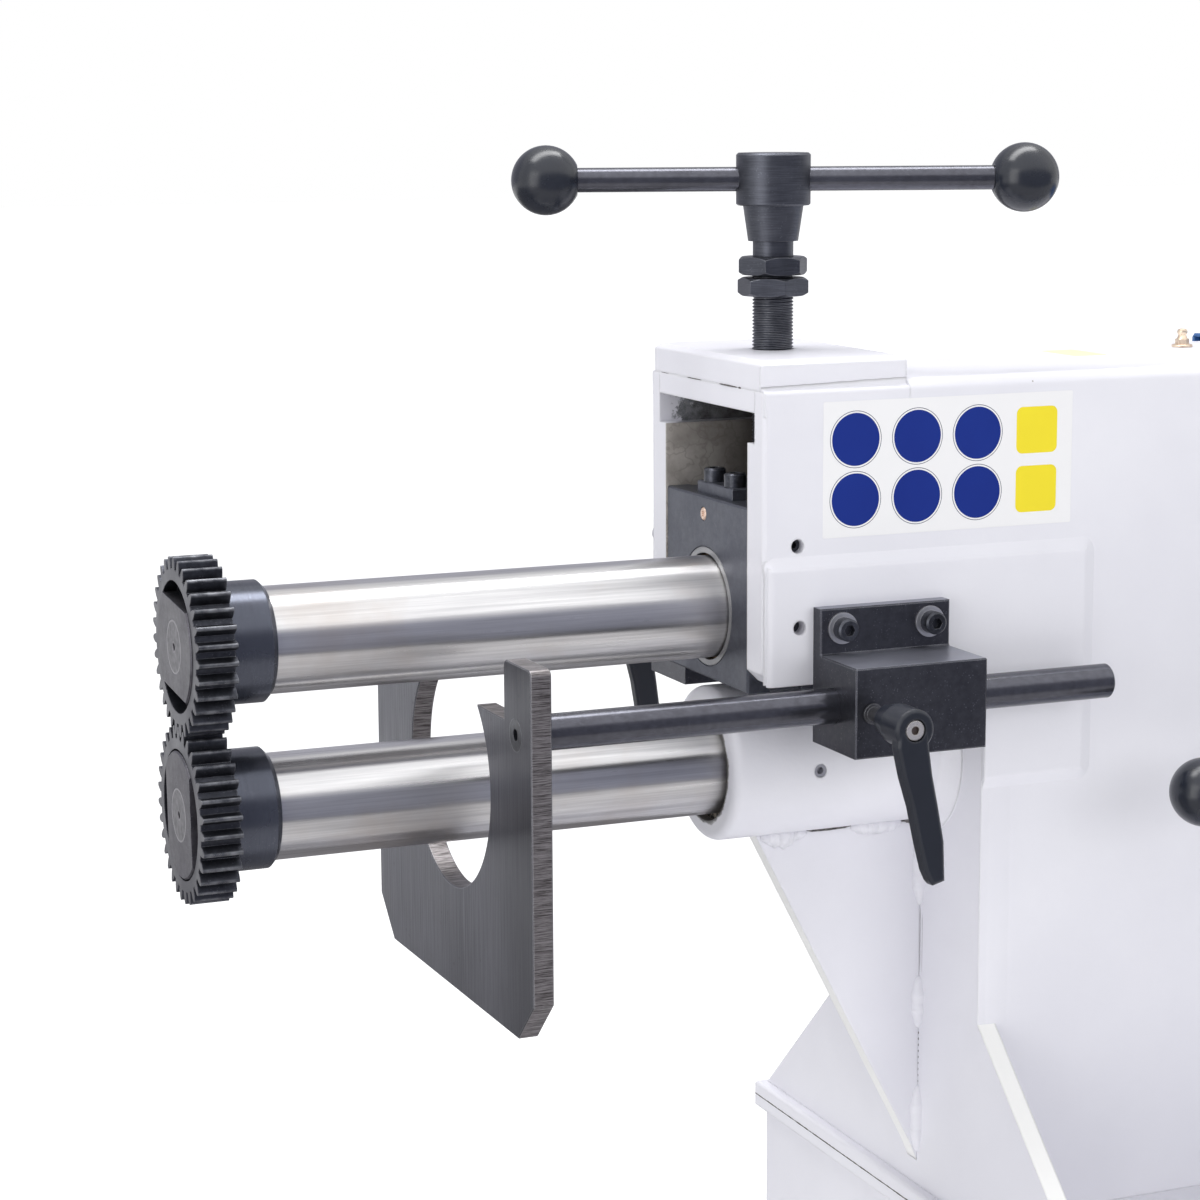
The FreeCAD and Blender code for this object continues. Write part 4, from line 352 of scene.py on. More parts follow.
    def relief(self, height, depth, edge_radius, strength=1.0):
        """Bumps of that depth in metres, on edges rounded to a radius."""
        rounded = self.nodes.new("ShaderNodeBevel")
        rounded.samples = 4
        rounded.inputs["Radius"].default_value = edge_radius
        bump = self.nodes.new("ShaderNodeBump")
        bump.inputs["Strength"].default_value = strength
        bump.inputs["Distance"].default_value = depth
        self.feed(bump.inputs["Height"], height)
        self.feed(bump.inputs["Normal"], rounded.outputs[0])
        self.feed(self.shader.inputs["Normal"], bump.outputs[0])

    def colour(self, value):
        self.feed(self.shader.inputs["Base Color"], value)

    def colour_so_far(self):
        """The colour that was given last, to be mixed with more."""
        return self.shader.inputs["Base Color"].links[0].from_socket

    def roughness(self, value):
        self.feed(self.shader.inputs["Roughness"], value)

    def metallic(self, value):
        self.feed(self.shader.inputs["Metallic"], value)


print("workbench ready")

# %% [markdown]
# ## Body paint
# The column and the head are welded plates, filled, sanded and sprayed. Sprayed paint keeps a faint
# orange peel of a few millimetres and clouds a little in tone over a hand's width. Along the edges the
# colour is painted lighter: a painted highlight. Here and there sits a speck of dust. Where the base
# plate lies on the cabinet's flange the paint has cracked open along the seam, which shows as a thin
# ragged dark line.

# %% Mix the body paint
PAINT = (0.790, 0.785, 0.835)
PAINT_SHADE = (0.735, 0.730, 0.785)
PAINT_EDGE_HIGHLIGHT = (0.87, 0.865, 0.90)
SPECK = (0.36, 0.33, 0.31)


def sprayed(name, paint=PAINT, shade=PAINT_SHADE, bright=PAINT_EDGE_HIGHLIGHT):
    """Sprayed paint on plate steel, bright its painted edge highlight. Returns the finish and its colour
    output.
    """
    finish = Finish(name, paint, 0.0, 0.38)
    clouds = finish.spread(finish.noise(7.0, 4.0), 0.35, 0.65)
    colour = finish.mixed(clouds, paint, shade)
    # Painted highlight: the colour is lighter along every edge.
    edges = finish.worn_edge(0.0022, 0.22)
    colour = finish.mixed(finish.times(edges, 0.85), colour, bright)
    specks = finish.spread(finish.cells(42.0), 0.030, 0.018)
    scarce = finish.spread(finish.noise(9.0, 1.0), 0.60, 0.66)
    colour = finish.mixed(finish.times(specks, scarce), colour, SPECK)
    finish.roughness(finish.spread(finish.noise(30.0, 3.0), 0.3, 0.7, 0.33, 0.45))
    peel = finish.plus(finish.noise(330.0, 2.0), finish.times(finish.noise(26.0, 2.0), 3.0))
    finish.relief(peel, 0.00016, 0.0022, 0.55)
    return finish, colour


PLATE_SEAM_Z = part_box("base_plate")[0].z
SEAM_DARK = (0.09, 0.075, 0.06)

plain_paint, colour = sprayed("body_paint")
from_seam = plain_paint.apart(plain_paint.part("Z"), PLATE_SEAM_Z)
ragged = plain_paint.times(plain_paint.noise(150.0, 4.0, 0.7), 0.0012)
seam = plain_paint.spread(plain_paint.maths("SUBTRACT", from_seam, ragged), -0.0001, -0.0003)
plain_paint.colour(plain_paint.mixed(seam, colour, SEAM_DARK))
print("finish:", plain_paint.material.name, "seam at", round(PLATE_SEAM_Z, 4))

# %% [markdown]
# ## Two places that differ
# The sloping edges of the front plate and the gusset, whose faces tilt away from upright, are painted
# whiter: a painted highlight. The normal tells the edge from the plate's face. Round the shaft, grease
# and metal dust have crept out of the bush onto the housing's face: a ragged dark ring, cut off by the
# distance from the shaft's axis.

# %% Painted highlight on the sloping edges, and grime round the shaft
UPPER_Z = 1.1315
LOWER_Z = 1.0375
BUSH_R = 0.034
SLOPE_HIGHLIGHT = (0.90, 0.895, 0.885)
GRIME = (0.045, 0.038, 0.026)

flare_paint, colour = sprayed("flare_paint")
# Painted highlight: whiter where the face tilts away from upright.
sloping = flare_paint.spread(flare_paint.maths("ABSOLUTE", flare_paint.facing_up()), 0.20, 0.26)
flare_paint.colour(flare_paint.mixed(sloping, colour, SLOPE_HIGHLIGHT))

housing_paint, colour = sprayed("housing_paint")
crept = housing_paint.times(housing_paint.noise(110.0, 4.0, 0.7), 0.0068)
grime = housing_paint.spread(housing_paint.maths("SUBTRACT", housing_paint.off_axis(LOWER_Z), crept),
                             BUSH_R - 0.0012, BUSH_R - 0.0024)
housing_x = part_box("lower_housing")[0].x
at_front = housing_paint.spread(housing_paint.part("X"), housing_x + 0.008, housing_x + 0.005)
grime = housing_paint.times(grime, at_front)
housing_paint.colour(housing_paint.mixed(housing_paint.times(grime, 0.85), colour, GRIME))
print("finish:", flare_paint.material.name, housing_paint.material.name)

# %% [markdown]
# ## Paint with bare steel inside
# The side walls need two finishes in one mesh. Cutting the mesh apart would be one way, but the solids
# stay as they are, so the material itself asks how far a point lies from the middle plane. Inside the
# head it shows bare steel, mottled by hand sweat and oil, and painted shade darkens it with depth. The
# thin curved marks are contour lines of a noise: the places where its value passes one half. The notch
# under the nut block is darker, and at the very front it caught ragged splashes of paint; painted shade
# darkens it with depth too.

# %% Paint the side walls
wall_low, wall_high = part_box("far_side_plate")
INNER_FACE = wall_low.y
NOTCH_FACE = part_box("feed_nut_block")[1].y + 0.0001
NOTCH_Z = wall_high.z - 0.030
HEAD_X = wall_low.x
BARE = (0.60, 0.565, 0.53)
BARE_MARK = (0.33, 0.30, 0.275)
BARE_SHADE = (0.055, 0.047, 0.042)
DEPTH = 0.062
NOTCH_GREY = (0.30, 0.31, 0.33)
NOTCH_DARK = (0.075, 0.077, 0.085)

wall_paint, colour = sprayed("wall_paint")
off_middle = wall_paint.off_middle()
inside = wall_paint.spread(off_middle, INNER_FACE + 0.0006, INNER_FACE + 0.0004)
in_notch = wall_paint.times(wall_paint.spread(off_middle, NOTCH_FACE + 0.0003, NOTCH_FACE + 0.0001),
                            wall_paint.spread(wall_paint.part("Z"), NOTCH_Z - 0.0002, NOTCH_Z + 0.0001))
blotches = wall_paint.noise(34.0, 5.0, 0.68)
marks = wall_paint.spread(wall_paint.apart(wall_paint.noise(75.0, 2.0, 0.55), 0.5), 0.022, 0.006)
# Painted shade: the bare steel darkens with depth into the head.
depth_shade = wall_paint.spread(wall_paint.part("X"), HEAD_X + 0.004, HEAD_X + DEPTH)
bare = wall_paint.mixed(wall_paint.spread(blotches, 0.36, 0.66), BARE, BARE_MARK)
bare = wall_paint.mixed(wall_paint.times(marks, 0.55), bare, BARE_MARK)
bare = wall_paint.mixed(wall_paint.spread(depth_shade, 0.0, 1.0, 0.0, 0.93), bare, BARE_SHADE)
print("bare steel inside", round(INNER_FACE, 4), "notch above", round(NOTCH_Z, 4))

# %% [markdown]
# The splashes are a rough noise that is cut off at one value. What is added to the noise near the
# front makes more of it pass that value, so the paint gets scarcer with depth and its edge stays
# ragged.

# %% Splash the notch
ragged_front = wall_paint.spread(wall_paint.part("X"), HEAD_X + 0.030, HEAD_X, 0.0, 0.42)
splash = wall_paint.plus(wall_paint.noise(95.0, 5.0, 0.75), ragged_front)
splash = wall_paint.spread(splash, 0.70, 0.80)
mottled = wall_paint.spread(wall_paint.noise(120.0, 5.0, 0.75), 0.36, 0.62)
notch = wall_paint.mixed(mottled, NOTCH_DARK, NOTCH_GREY)
# Painted shade with depth in the notch as well.
notch = wall_paint.mixed(wall_paint.spread(depth_shade, 0.0, 1.0, 0.0, 0.85), notch, BARE_SHADE)
notch = wall_paint.mixed(splash, notch, PAINT_SHADE)
colour = wall_paint.mixed(in_notch, colour, notch)
wall_paint.colour(wall_paint.mixed(inside, colour, wall_paint.mixed(in_notch, bare, notch)))
wall_paint.metallic(wall_paint.times(inside, 0.12))
print("finish:", wall_paint.material.name)

# %% [markdown]
# ## Other paints
# The hood is sprayed blue, the drive unit is a painted casting with a coarse skin, and the control box
# has a powder coat, whose grain is finer and rougher than wet paint. Many finishes on this machine are
# two tones in one noise with one kind of bump, so a helper mixes those from a few numbers.

# %% Hood, drive and box paints
def mottled(name, base, metallic, rough, noise, span, first, second, bumps=None):
    """Two tones in a noise that is clipped to a span, and bumps: a noise, and the relief it makes."""
    finish = Finish(name, base, metallic, rough)
    share = finish.noise(*noise)
    if span:
        share = finish.spread(share, *span)
    finish.colour(finish.mixed(share, first, second))
    if bumps:
        finish.relief(finish.noise(*bumps[0]), *bumps[1])
    return finish


hood_paint, colour = sprayed("hood_paint", (0.045, 0.150, 0.420), (0.036, 0.125, 0.37),
                             (0.10, 0.24, 0.52))
hood_paint.colour(colour)
drive_paint = mottled("drive_paint", (0.20, 0.215, 0.235), 0.0, 0.5, (20.0, 4.0), (0.35, 0.7),
                      (0.19, 0.205, 0.225), (0.255, 0.265, 0.28), ((240.0, 4.0, 0.7), (0.0006, 0.0018, 0.8)))
box_paint = mottled("box_paint", (0.56, 0.57, 0.58), 0.0, 0.55, (900.0, 2.0), (0.4, 0.6),
                    (0.53, 0.54, 0.55), (0.61, 0.62, 0.63), ((1100.0, 2.0), (0.00012, 0.001, 0.8)))
print("paints:", hood_paint.material.name, drive_paint.material.name, box_paint.material.name)

# %% [markdown]
# ## Black oxide
# The yoke, the brackets, the nuts and the bar are blackened in a hot salt bath and oiled. The layer is
# thin, so it keeps the marks of the milling cutter and rubs through to brighter steel along the edges.
# On the brackets the faces that look up are painted lighter and blue-grey, a painted highlight where
# they face the light: the normal tells which faces look up.

# %% Blacken the steel
OXIDE = (0.052, 0.055, 0.068)
OXIDE_LIGHT = (0.100, 0.105, 0.127)
OXIDE_EDGE = (0.36, 0.37, 0.40)
GREY_DUST = (0.24, 0.25, 0.29)
TOP_HIGHLIGHT = (0.36, 0.37, 0.43)


def blackened(name, grain, base=OXIDE, light=OXIDE_LIGHT, rough=(0.36, 0.52), edge=0.55,
              edge_radius=0.0007, speckled=0.35, top_highlight=0.0):
    """Oxide over machined steel. grain is the marks' number for each axis, low along the marks."""
    finish = Finish(name, base, 0.82, 0.45)
    marks = finish.grain(grain, 4.0, 0.65)
    clouds = finish.noise(22.0, 4.0, 0.6)
    tone = finish.spread(finish.plus(finish.times(marks, 0.55), finish.times(clouds, 0.45)), 0.38, 0.64)
    colour = finish.mixed(tone, base, light)
    dust = finish.spread(finish.cells(620.0), 0.26, 0.10)
    dusty = finish.spread(finish.noise(150.0, 3.0), 0.42, 0.62, 0.0, speckled)
    colour = finish.mixed(finish.times(dust, dusty), colour, GREY_DUST)
    # Painted highlight: faces that look up get a lighter, blue-grey colour.
    if top_highlight:
        upward = finish.spread(finish.facing_up(), 0.80, 0.98, 0.0, top_highlight)
        colour = finish.mixed(upward, colour, TOP_HIGHLIGHT)
    rubbed = finish.times(finish.worn_edge(edge_radius, 0.20),
                          finish.spread(finish.noise(120.0, 3.0), 0.35, 0.6, 0.25, 1.0))
    colour = finish.mixed(finish.times(rubbed, edge), colour, OXIDE_EDGE)
    finish.colour(colour)
    finish.roughness(finish.spread(clouds, 0.35, 0.65, *rough))
    finish.relief(marks, 0.00005, edge_radius, 0.7)
    return finish


AROUND_X = (1800, 60, 60)
AROUND_Z = (60, 60, 1800)
CAST = (260, 260, 260)
BLOCK_TONES = {"base": (0.088, 0.094, 0.116), "light": (0.125, 0.132, 0.16)}
SCREW_LOOK = {"base": (0.035, 0.037, 0.043), "rough": (0.28, 0.4), "edge_radius": 0.0004}

block_oxide = blackened("block_oxide", CAST, **BLOCK_TONES)
bracket_oxide = blackened("bracket_oxide", CAST, base=(0.052, 0.053, 0.065), light=(0.074, 0.076, 0.091),
                          rough=(0.32, 0.42), edge=0.95, edge_radius=0.0006, speckled=0.6,
                          top_highlight=0.75)
bar_oxide = blackened("bar_oxide", CAST, base=(0.078, 0.079, 0.094), light=(0.114, 0.116, 0.138),
                      rough=(0.20, 0.27), speckled=0.45)
collar_oxide = blackened("collar_oxide", AROUND_X, base=(0.074, 0.080, 0.102), light=(0.098, 0.106, 0.134),
                         rough=(0.23, 0.29))
turned_oxide = blackened("turned_oxide", AROUND_Z, rough=(0.30, 0.44))
screw_oxide = blackened("screw_oxide", CAST, **SCREW_LOOK)
print("finish:", block_oxide.material.name, bracket_oxide.material.name, bar_oxide.material.name)

# %% [markdown]
# ## Oxide with bright parts
# Four blackened solids also show bright steel: the ring at the mouth of the yoke's bore, which is
# turned after blackening, the plain washers under the bracket's screws, the set screw in the lower
# housing, and the screw head at the outer end of each clamp stud. Each is found by its place: by the
# radius, by the distance from the middle plane, or by the height. Below the last millimetre of each
# clamp stud's head, a band is painted dark as the shade in its socket.

# %% Leave some steel bright
RING_R = 0.0348
WASHER_LOW_Y = 0.0900
WASHER_HIGH_Y = 0.0917
BRIGHT = (0.52, 0.52, 0.55)
RING_BRIGHT = (0.34, 0.34, 0.35)
HEAD_BRIGHT = (0.66, 0.63, 0.615)
SOCKET_SHADE = (0.15, 0.12, 0.11)
HEAD_T = 0.0043
SOCKET_DEPTH = 0.0009


def brightened(finish, share, bright=BRIGHT):
    """Mixes bright steel into a finished oxide where share is 1."""
    finish.colour(finish.mixed(share, finish.colour_so_far(), bright))


yoke_oxide = blackened("yoke_oxide", CAST, **BLOCK_TONES)
yoke_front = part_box("yoke_block")[0].x
on_ring = yoke_oxide.times(yoke_oxide.spread(yoke_oxide.off_axis(UPPER_Z), RING_R + 0.0001, RING_R),
                           yoke_oxide.spread(yoke_oxide.part("X"), yoke_front + 0.0005, yoke_front + 0.0002))
brightened(yoke_oxide, on_ring, RING_BRIGHT)

washer_oxide = blackened("washer_oxide", CAST, **SCREW_LOOK)
brightened(washer_oxide, washer_oxide.between(washer_oxide.off_middle(), WASHER_LOW_Y, WASHER_HIGH_Y))

set_oxide = blackened("set_oxide", CAST, **SCREW_LOOK)
brightened(set_oxide, set_oxide.spread(set_oxide.apart(set_oxide.part("Z"), LOWER_Z), 0.012, 0.011))

stud_oxide = blackened("stud_oxide", CAST, base=(0.10, 0.10, 0.11), light=(0.17, 0.17, 0.18),
                       rough=(0.25, 0.35))
stud_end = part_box("far_clamp_stud")[1].y
off_middle = stud_oxide.off_middle()
brightened(stud_oxide, stud_oxide.spread(off_middle, stud_end - HEAD_T, stud_end - HEAD_T + 0.0001),
           HEAD_BRIGHT)
# Painted shade: the socket's band behind the bright end of the head.
brightened(stud_oxide, stud_oxide.between(off_middle, stud_end - HEAD_T, stud_end - SOCKET_DEPTH),
           SOCKET_SHADE)
print("bright parts on four oxides")

# %% [markdown]
# ## Rolls
# The rolls are hardened and blackened. Metal runs over their crests and polishes them, so the finish
# is brighter with the distance from the roll's own axis, and the flat face shows rings from turning.

# %% Finish the rolls
TIP_R = 0.0495
TOOTHED_END_X = -0.7075
RING_COUNT = 9000.0
TURNED_DARK = (0.060, 0.060, 0.071)
TURNED_LIGHT = (0.125, 0.125, 0.142)
CREST_BRIGHT = (0.42, 0.43, 0.46)


def rolled(name, axis_z):
    """A roll's finish, for the shaft whose axis runs at that height."""
    finish = blackened(name, CAST, base=(0.030, 0.032, 0.040), light=(0.060, 0.063, 0.078),
                       rough=(0.34, 0.5), edge=0.95, edge_radius=0.0007)
    radius = finish.off_axis(axis_z)
    crest = finish.spread(radius, TIP_R - 0.0012, TIP_R - 0.0002)
    patchy = finish.spread(finish.noise(160.0, 3.0), 0.35, 0.7, 0.0, 0.45)
    face = finish.spread(finish.part("X"), TOOTHED_END_X, TOOTHED_END_X - 0.0004)
    rings = finish.spread(finish.maths("SINE", finish.times(radius, RING_COUNT)), -1, 1, 0.55, 0.9)
    colour = finish.mixed(face, finish.colour_so_far(), finish.mixed(rings, TURNED_DARK, TURNED_LIGHT))
    finish.colour(finish.mixed(finish.times(crest, patchy), colour, CREST_BRIGHT))
    return finish


upper_roll_steel = rolled("upper_roll_steel", UPPER_Z)
lower_roll_steel = rolled("lower_roll_steel", LOWER_Z)
nut_steel = blackened("nut_steel", CAST, base=(0.070, 0.068, 0.080), light=(0.135, 0.130, 0.148),
                      rough=(0.38, 0.52), edge=0.9, edge_radius=0.0005, speckled=0.7)
print("finish:", upper_roll_steel.material.name, nut_steel.material.name)

# %% [markdown]
# ## Ground steel
# The shafts are centreless-ground: a mirror with very fine rings around it and long handling streaks
# along it. The rings are finer than a pixel, so they are told to the shader instead of modelled: an
# anisotropic reflection is sharp around the shaft and smeared along it, with a tangent that runs
# round the X axis. A brownish film sits on it here and there. The shaft's end face, in the middle of
# the roll's nut, is only faced on a lathe, so it is rough and grey, with a painted highlight on its
# rim, and painted shade in the small hole of the lathe's centre.

# %% Grind the shafts
NOSE_X = -0.7076
NOSE_R = 0.015
CHAMFER_R = 0.0034
CENTRE_HOLE_R = 0.0021
ground_steel = Finish("ground_steel", (0.70, 0.70, 0.70), 1.0, 0.30)
ground_steel.shader.inputs["Anisotropic Rotation"].default_value = 0.25
around = ground_steel.nodes.new("ShaderNodeTangent")
around.direction_type = "RADIAL"
around.axis = "X"
ground_steel.feed(ground_steel.shader.inputs["Tangent"], around.outputs[0])
streaks = ground_steel.grain((9, 520, 520), 5.0, 0.62)
rings = ground_steel.grain((5200, 90, 90), 3.0, 0.6)
film = ground_steel.noise(14.0, 4.0, 0.6)
tone = ground_steel.mixed(ground_steel.spread(streaks, 0.35, 0.66), (0.75, 0.745, 0.75),
                          (0.58, 0.575, 0.585))
tone = ground_steel.mixed(ground_steel.spread(film, 0.50, 0.72, 0.0, 0.50), tone, (0.56, 0.49, 0.44))
nose = ground_steel.spread(ground_steel.part("X"), NOSE_X, NOSE_X - 0.0002)
ground_steel.feed(ground_steel.shader.inputs["Anisotropic"], ground_steel.spread(nose, 0, 1, 0.95, 0.0))
print("ground steel with its grain ready")

# %% [markdown]
# The end face is drawn from its middle outwards by the distance from the nearer shaft's axis: the
# centre hole in painted shade, its chamfer, the grey face and the rim as a painted highlight.

# %% Face the shafts' ends
faced = ground_steel.mixed(ground_steel.spread(ground_steel.noise(240.0, 4.0), 0.35, 0.65),
                           (0.115, 0.113, 0.125), (0.21, 0.205, 0.22))
upper_r, lower_r = ground_steel.off_axis(UPPER_Z), ground_steel.off_axis(LOWER_Z)
nose_r = ground_steel.maths("MINIMUM", upper_r, lower_r)
# Painted highlight on the rim of the end face.
faced = ground_steel.mixed(ground_steel.spread(nose_r, NOSE_R - 0.0012, NOSE_R - 0.0007), faced,
                           (0.34, 0.33, 0.35))
faced = ground_steel.mixed(ground_steel.spread(nose_r, CHAMFER_R, CHAMFER_R - 0.0004), faced,
                           (0.26, 0.25, 0.27))
# Painted shade in the centre hole.
faced = ground_steel.mixed(ground_steel.spread(nose_r, CENTRE_HOLE_R, CENTRE_HOLE_R - 0.0003), faced,
                           (0.012, 0.012, 0.014))
ground_steel.colour(ground_steel.mixed(nose, tone, faced))
drawn = ground_steel.spread(ground_steel.plus(streaks, ground_steel.times(film, 0.5)), 0.5, 1.0, 0.26, 0.34)
ground_steel.roughness(ground_steel.maths("MAXIMUM", drawn, ground_steel.times(nose, 0.45)))
ground_steel.relief(ground_steel.plus(rings, ground_steel.times(streaks, 0.3)), 0.000006, 0.0006, 0.7)
print("finish:", ground_steel.material.name)

# %% [markdown]
# ## The fence's steel
# The fence is cut from hot-rolled plate: its faces keep a blue-grey mill scale, brushed up and down,
# and its narrow edges are ground across. Which of the two a point gets depends on how far it lies
# inside the plate's two faces.

# %% Scale and ground edges
FENCE_MIDDLE = -0.545
FENCE_HALF_T = 0.006
fence_near_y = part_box("fence_plate")[0].y
scale_steel = Finish("scale_steel", (0.13, 0.135, 0.16), 0.75, 0.42)
brushing = scale_steel.grain((900, 700, 14), 5.0, 0.65)
clouds = scale_steel.noise(16.0, 5.0, 0.6)
face_tone = scale_steel.spread(scale_steel.plus(scale_steel.times(brushing, 0.6),
                                                scale_steel.times(clouds, 0.4)), 0.38, 0.64)
face_colour = scale_steel.mixed(face_tone, (0.076, 0.078, 0.095), (0.178, 0.180, 0.204))
darker = scale_steel.spread(scale_steel.part("Y"), fence_near_y + 0.075, fence_near_y + 0.02, 0.0, 0.55)
face_colour = scale_steel.mixed(darker, face_colour, (0.040, 0.041, 0.050))
spots = scale_steel.spread(scale_steel.cells(150.0), 0.20, 0.08)
spotted = scale_steel.spread(scale_steel.noise(35.0, 3.0), 0.48, 0.66, 0.0, 0.5)
face_colour = scale_steel.mixed(scale_steel.times(spots, spotted), face_colour,
                                (0.045, 0.043, 0.050))
scratches = scale_steel.grain((60, 900, 1500), 4.0, 0.75)
edge_colour = scale_steel.mixed(scale_steel.spread(scratches, 0.40, 0.60), (0.070, 0.062, 0.062),
                                (0.30, 0.28, 0.285))
inward = scale_steel.apart(scale_steel.part("X"), FENCE_MIDDLE)
on_edge = scale_steel.spread(inward, FENCE_HALF_T - 0.0003, FENCE_HALF_T - 0.0007)
colour = scale_steel.mixed(on_edge, face_colour, edge_colour)
colour = scale_steel.mixed(scale_steel.times(scale_steel.worn_edge(0.0009, 0.2), 0.85), colour,
                           (0.50, 0.50, 0.52))
scale_steel.colour(colour)
scale_steel.roughness(scale_steel.spread(clouds, 0.3, 0.7, 0.34, 0.5))
scale_steel.relief(scale_steel.plus(brushing, scratches), 0.00005, 0.0007, 0.8)
print("finish:", scale_steel.material.name)

# %% [markdown]
# ## Bronze, brass and bright screws
# The barrel bush is bearing bronze, turned like the shafts. The grease nipple is brass, its plug
# copper, and the sheet-metal screws are bright steel. The lower front bush is hidden under black
# grease and grime, with a little metal showing through.

# %% Small metals
bronze = mottled("bronze", (0.55, 0.38, 0.19), 1.0, 0.32, (70.0, 4.0), (0.35, 0.7),
                 (0.58, 0.40, 0.20), (0.33, 0.22, 0.12))
bronze.relief(bronze.grain((4000, 80, 80), 3.0, 0.6), 0.00002, 0.0005)
brass = mottled("brass", (0.82, 0.68, 0.52), 0.8, 0.30, (260.0, 3.0), (0.4, 0.7),
                (0.84, 0.70, 0.54), (0.64, 0.48, 0.36), ((1200.0, 2.0), (0.00002, 0.0003)))
copper = mottled("copper", (0.80, 0.60, 0.49), 0.6, 0.40, (500.0, 3.0), (0.4, 0.7),
                 (0.80, 0.61, 0.50), (0.58, 0.38, 0.28), ((900.0, 2.0), (0.00003, 0.0003)))
bright_steel = mottled("bright_steel", (0.62, 0.60, 0.585), 1.0, 0.30, (500.0, 3.0), (0.4, 0.65),
                       (0.66, 0.64, 0.62), (0.46, 0.43, 0.41), ((1600.0, 2.0), (0.00003, 0.0004)))
bush_grime = mottled("bush_grime", (0.20, 0.17, 0.13), 0.7, 0.5, (300.0, 5.0, 0.75), (0.44, 0.56),
                     (0.016, 0.014, 0.013), (0.42, 0.37, 0.29), ((700.0, 3.0), (0.0002, 0.0005)))
print("small metals mixed")

# %% [markdown]
# ## Plastics
# The clamp levers are moulded plastic with a fine spark-eroded skin and paler edges. The ball knobs are
# polished, and handling leaves their gloss a little uneven. The stop button is glossy red.

# %% Plastics
lever_plastic = Finish("lever_plastic", (0.010, 0.012, 0.019), 0.0, 0.34)
lever_plastic.shader.inputs["Specular IOR Level"].default_value = 0.42
lever_plastic.colour(lever_plastic.mixed(
    lever_plastic.times(lever_plastic.worn_edge(0.0014, 0.2), 0.5),
    lever_plastic.mixed(lever_plastic.noise(35.0, 3.0), (0.009, 0.0115, 0.019), (0.015, 0.018, 0.028)),
    (0.055, 0.058, 0.072)))
lever_plastic.relief(lever_plastic.noise(1500.0, 2.0), 0.00006, 0.0018, 0.7)
ball_plastic = mottled("ball_plastic", (0.014, 0.017, 0.026), 0.0, 0.22, (60.0, 2.0), None,
                       (0.009, 0.0115, 0.019), (0.018, 0.021, 0.031), ((90.0, 2.0), (0.00004, 0.001, 0.5)))
ball_plastic.roughness(ball_plastic.spread(ball_plastic.noise(45.0, 4.0, 0.6), 0.3, 0.75, 0.19, 0.32))
stop_plastic = mottled("stop_plastic", (0.55, 0.018, 0.015), 0.0, 0.22, (80.0, 3.0), None,
                       (0.56, 0.02, 0.016), (0.46, 0.014, 0.012), ((300.0, 2.0), (0.00002, 0.0006)))
print("plastics mixed")

# %% [markdown]
# ## Printed vinyl, and dark cracks
# The sticker on the side is printed vinyl: the sheet and each ink are slightly uneven in tone and lie
# in the same faint waves. The last finish is for the cracks in the paint, dark and dull.

# %% Inks and cracks
VINYL_WAVES = ((40.0, 2.0), (0.00006, 0.0002))
label_vinyl = mottled("label_vinyl", (0.86, 0.855, 0.865), 0.0, 0.30, (12.0, 3.0), None,
                      (0.86, 0.855, 0.865), (0.83, 0.822, 0.835), VINYL_WAVES)
label_blue = mottled("label_blue", (0.004, 0.021, 0.215), 0.0, 0.38, (30.0, 3.0), None,
                     (0.004, 0.020, 0.205), (0.006, 0.028, 0.24), VINYL_WAVES)
label_blue.shader.inputs["Specular IOR Level"].default_value = 0.2
label_yellow = mottled("label_yellow", (0.88, 0.74, 0.015), 0.0, 0.32, (30.0, 3.0), None,
                       (0.89, 0.75, 0.015), (0.83, 0.67, 0.015), VINYL_WAVES)
label_pale = mottled("label_pale", (0.88, 0.85, 0.52), 0.0, 0.4, (30.0, 3.0), None,
                     (0.89, 0.86, 0.53), (0.84, 0.80, 0.46))
label_line = mottled("label_line", (0.10, 0.11, 0.16), 0.0, 0.4, (200.0, 2.0), None,
                     (0.08, 0.09, 0.14), (0.16, 0.17, 0.22))
crack_dark = mottled("crack_dark", (0.05, 0.045, 0.04), 0.0, 0.8, (600.0, 3.0), (0.4, 0.6),
                     (0.03, 0.027, 0.026), (0.16, 0.15, 0.15))
print("inks mixed:", label_vinyl.material.name, label_blue.material.name, label_yellow.material.name)

# %% [markdown]
# ## Dress the solids
# One table says which finish each solid takes. A solid's mesh is never touched; only the material in
# its slots changes.

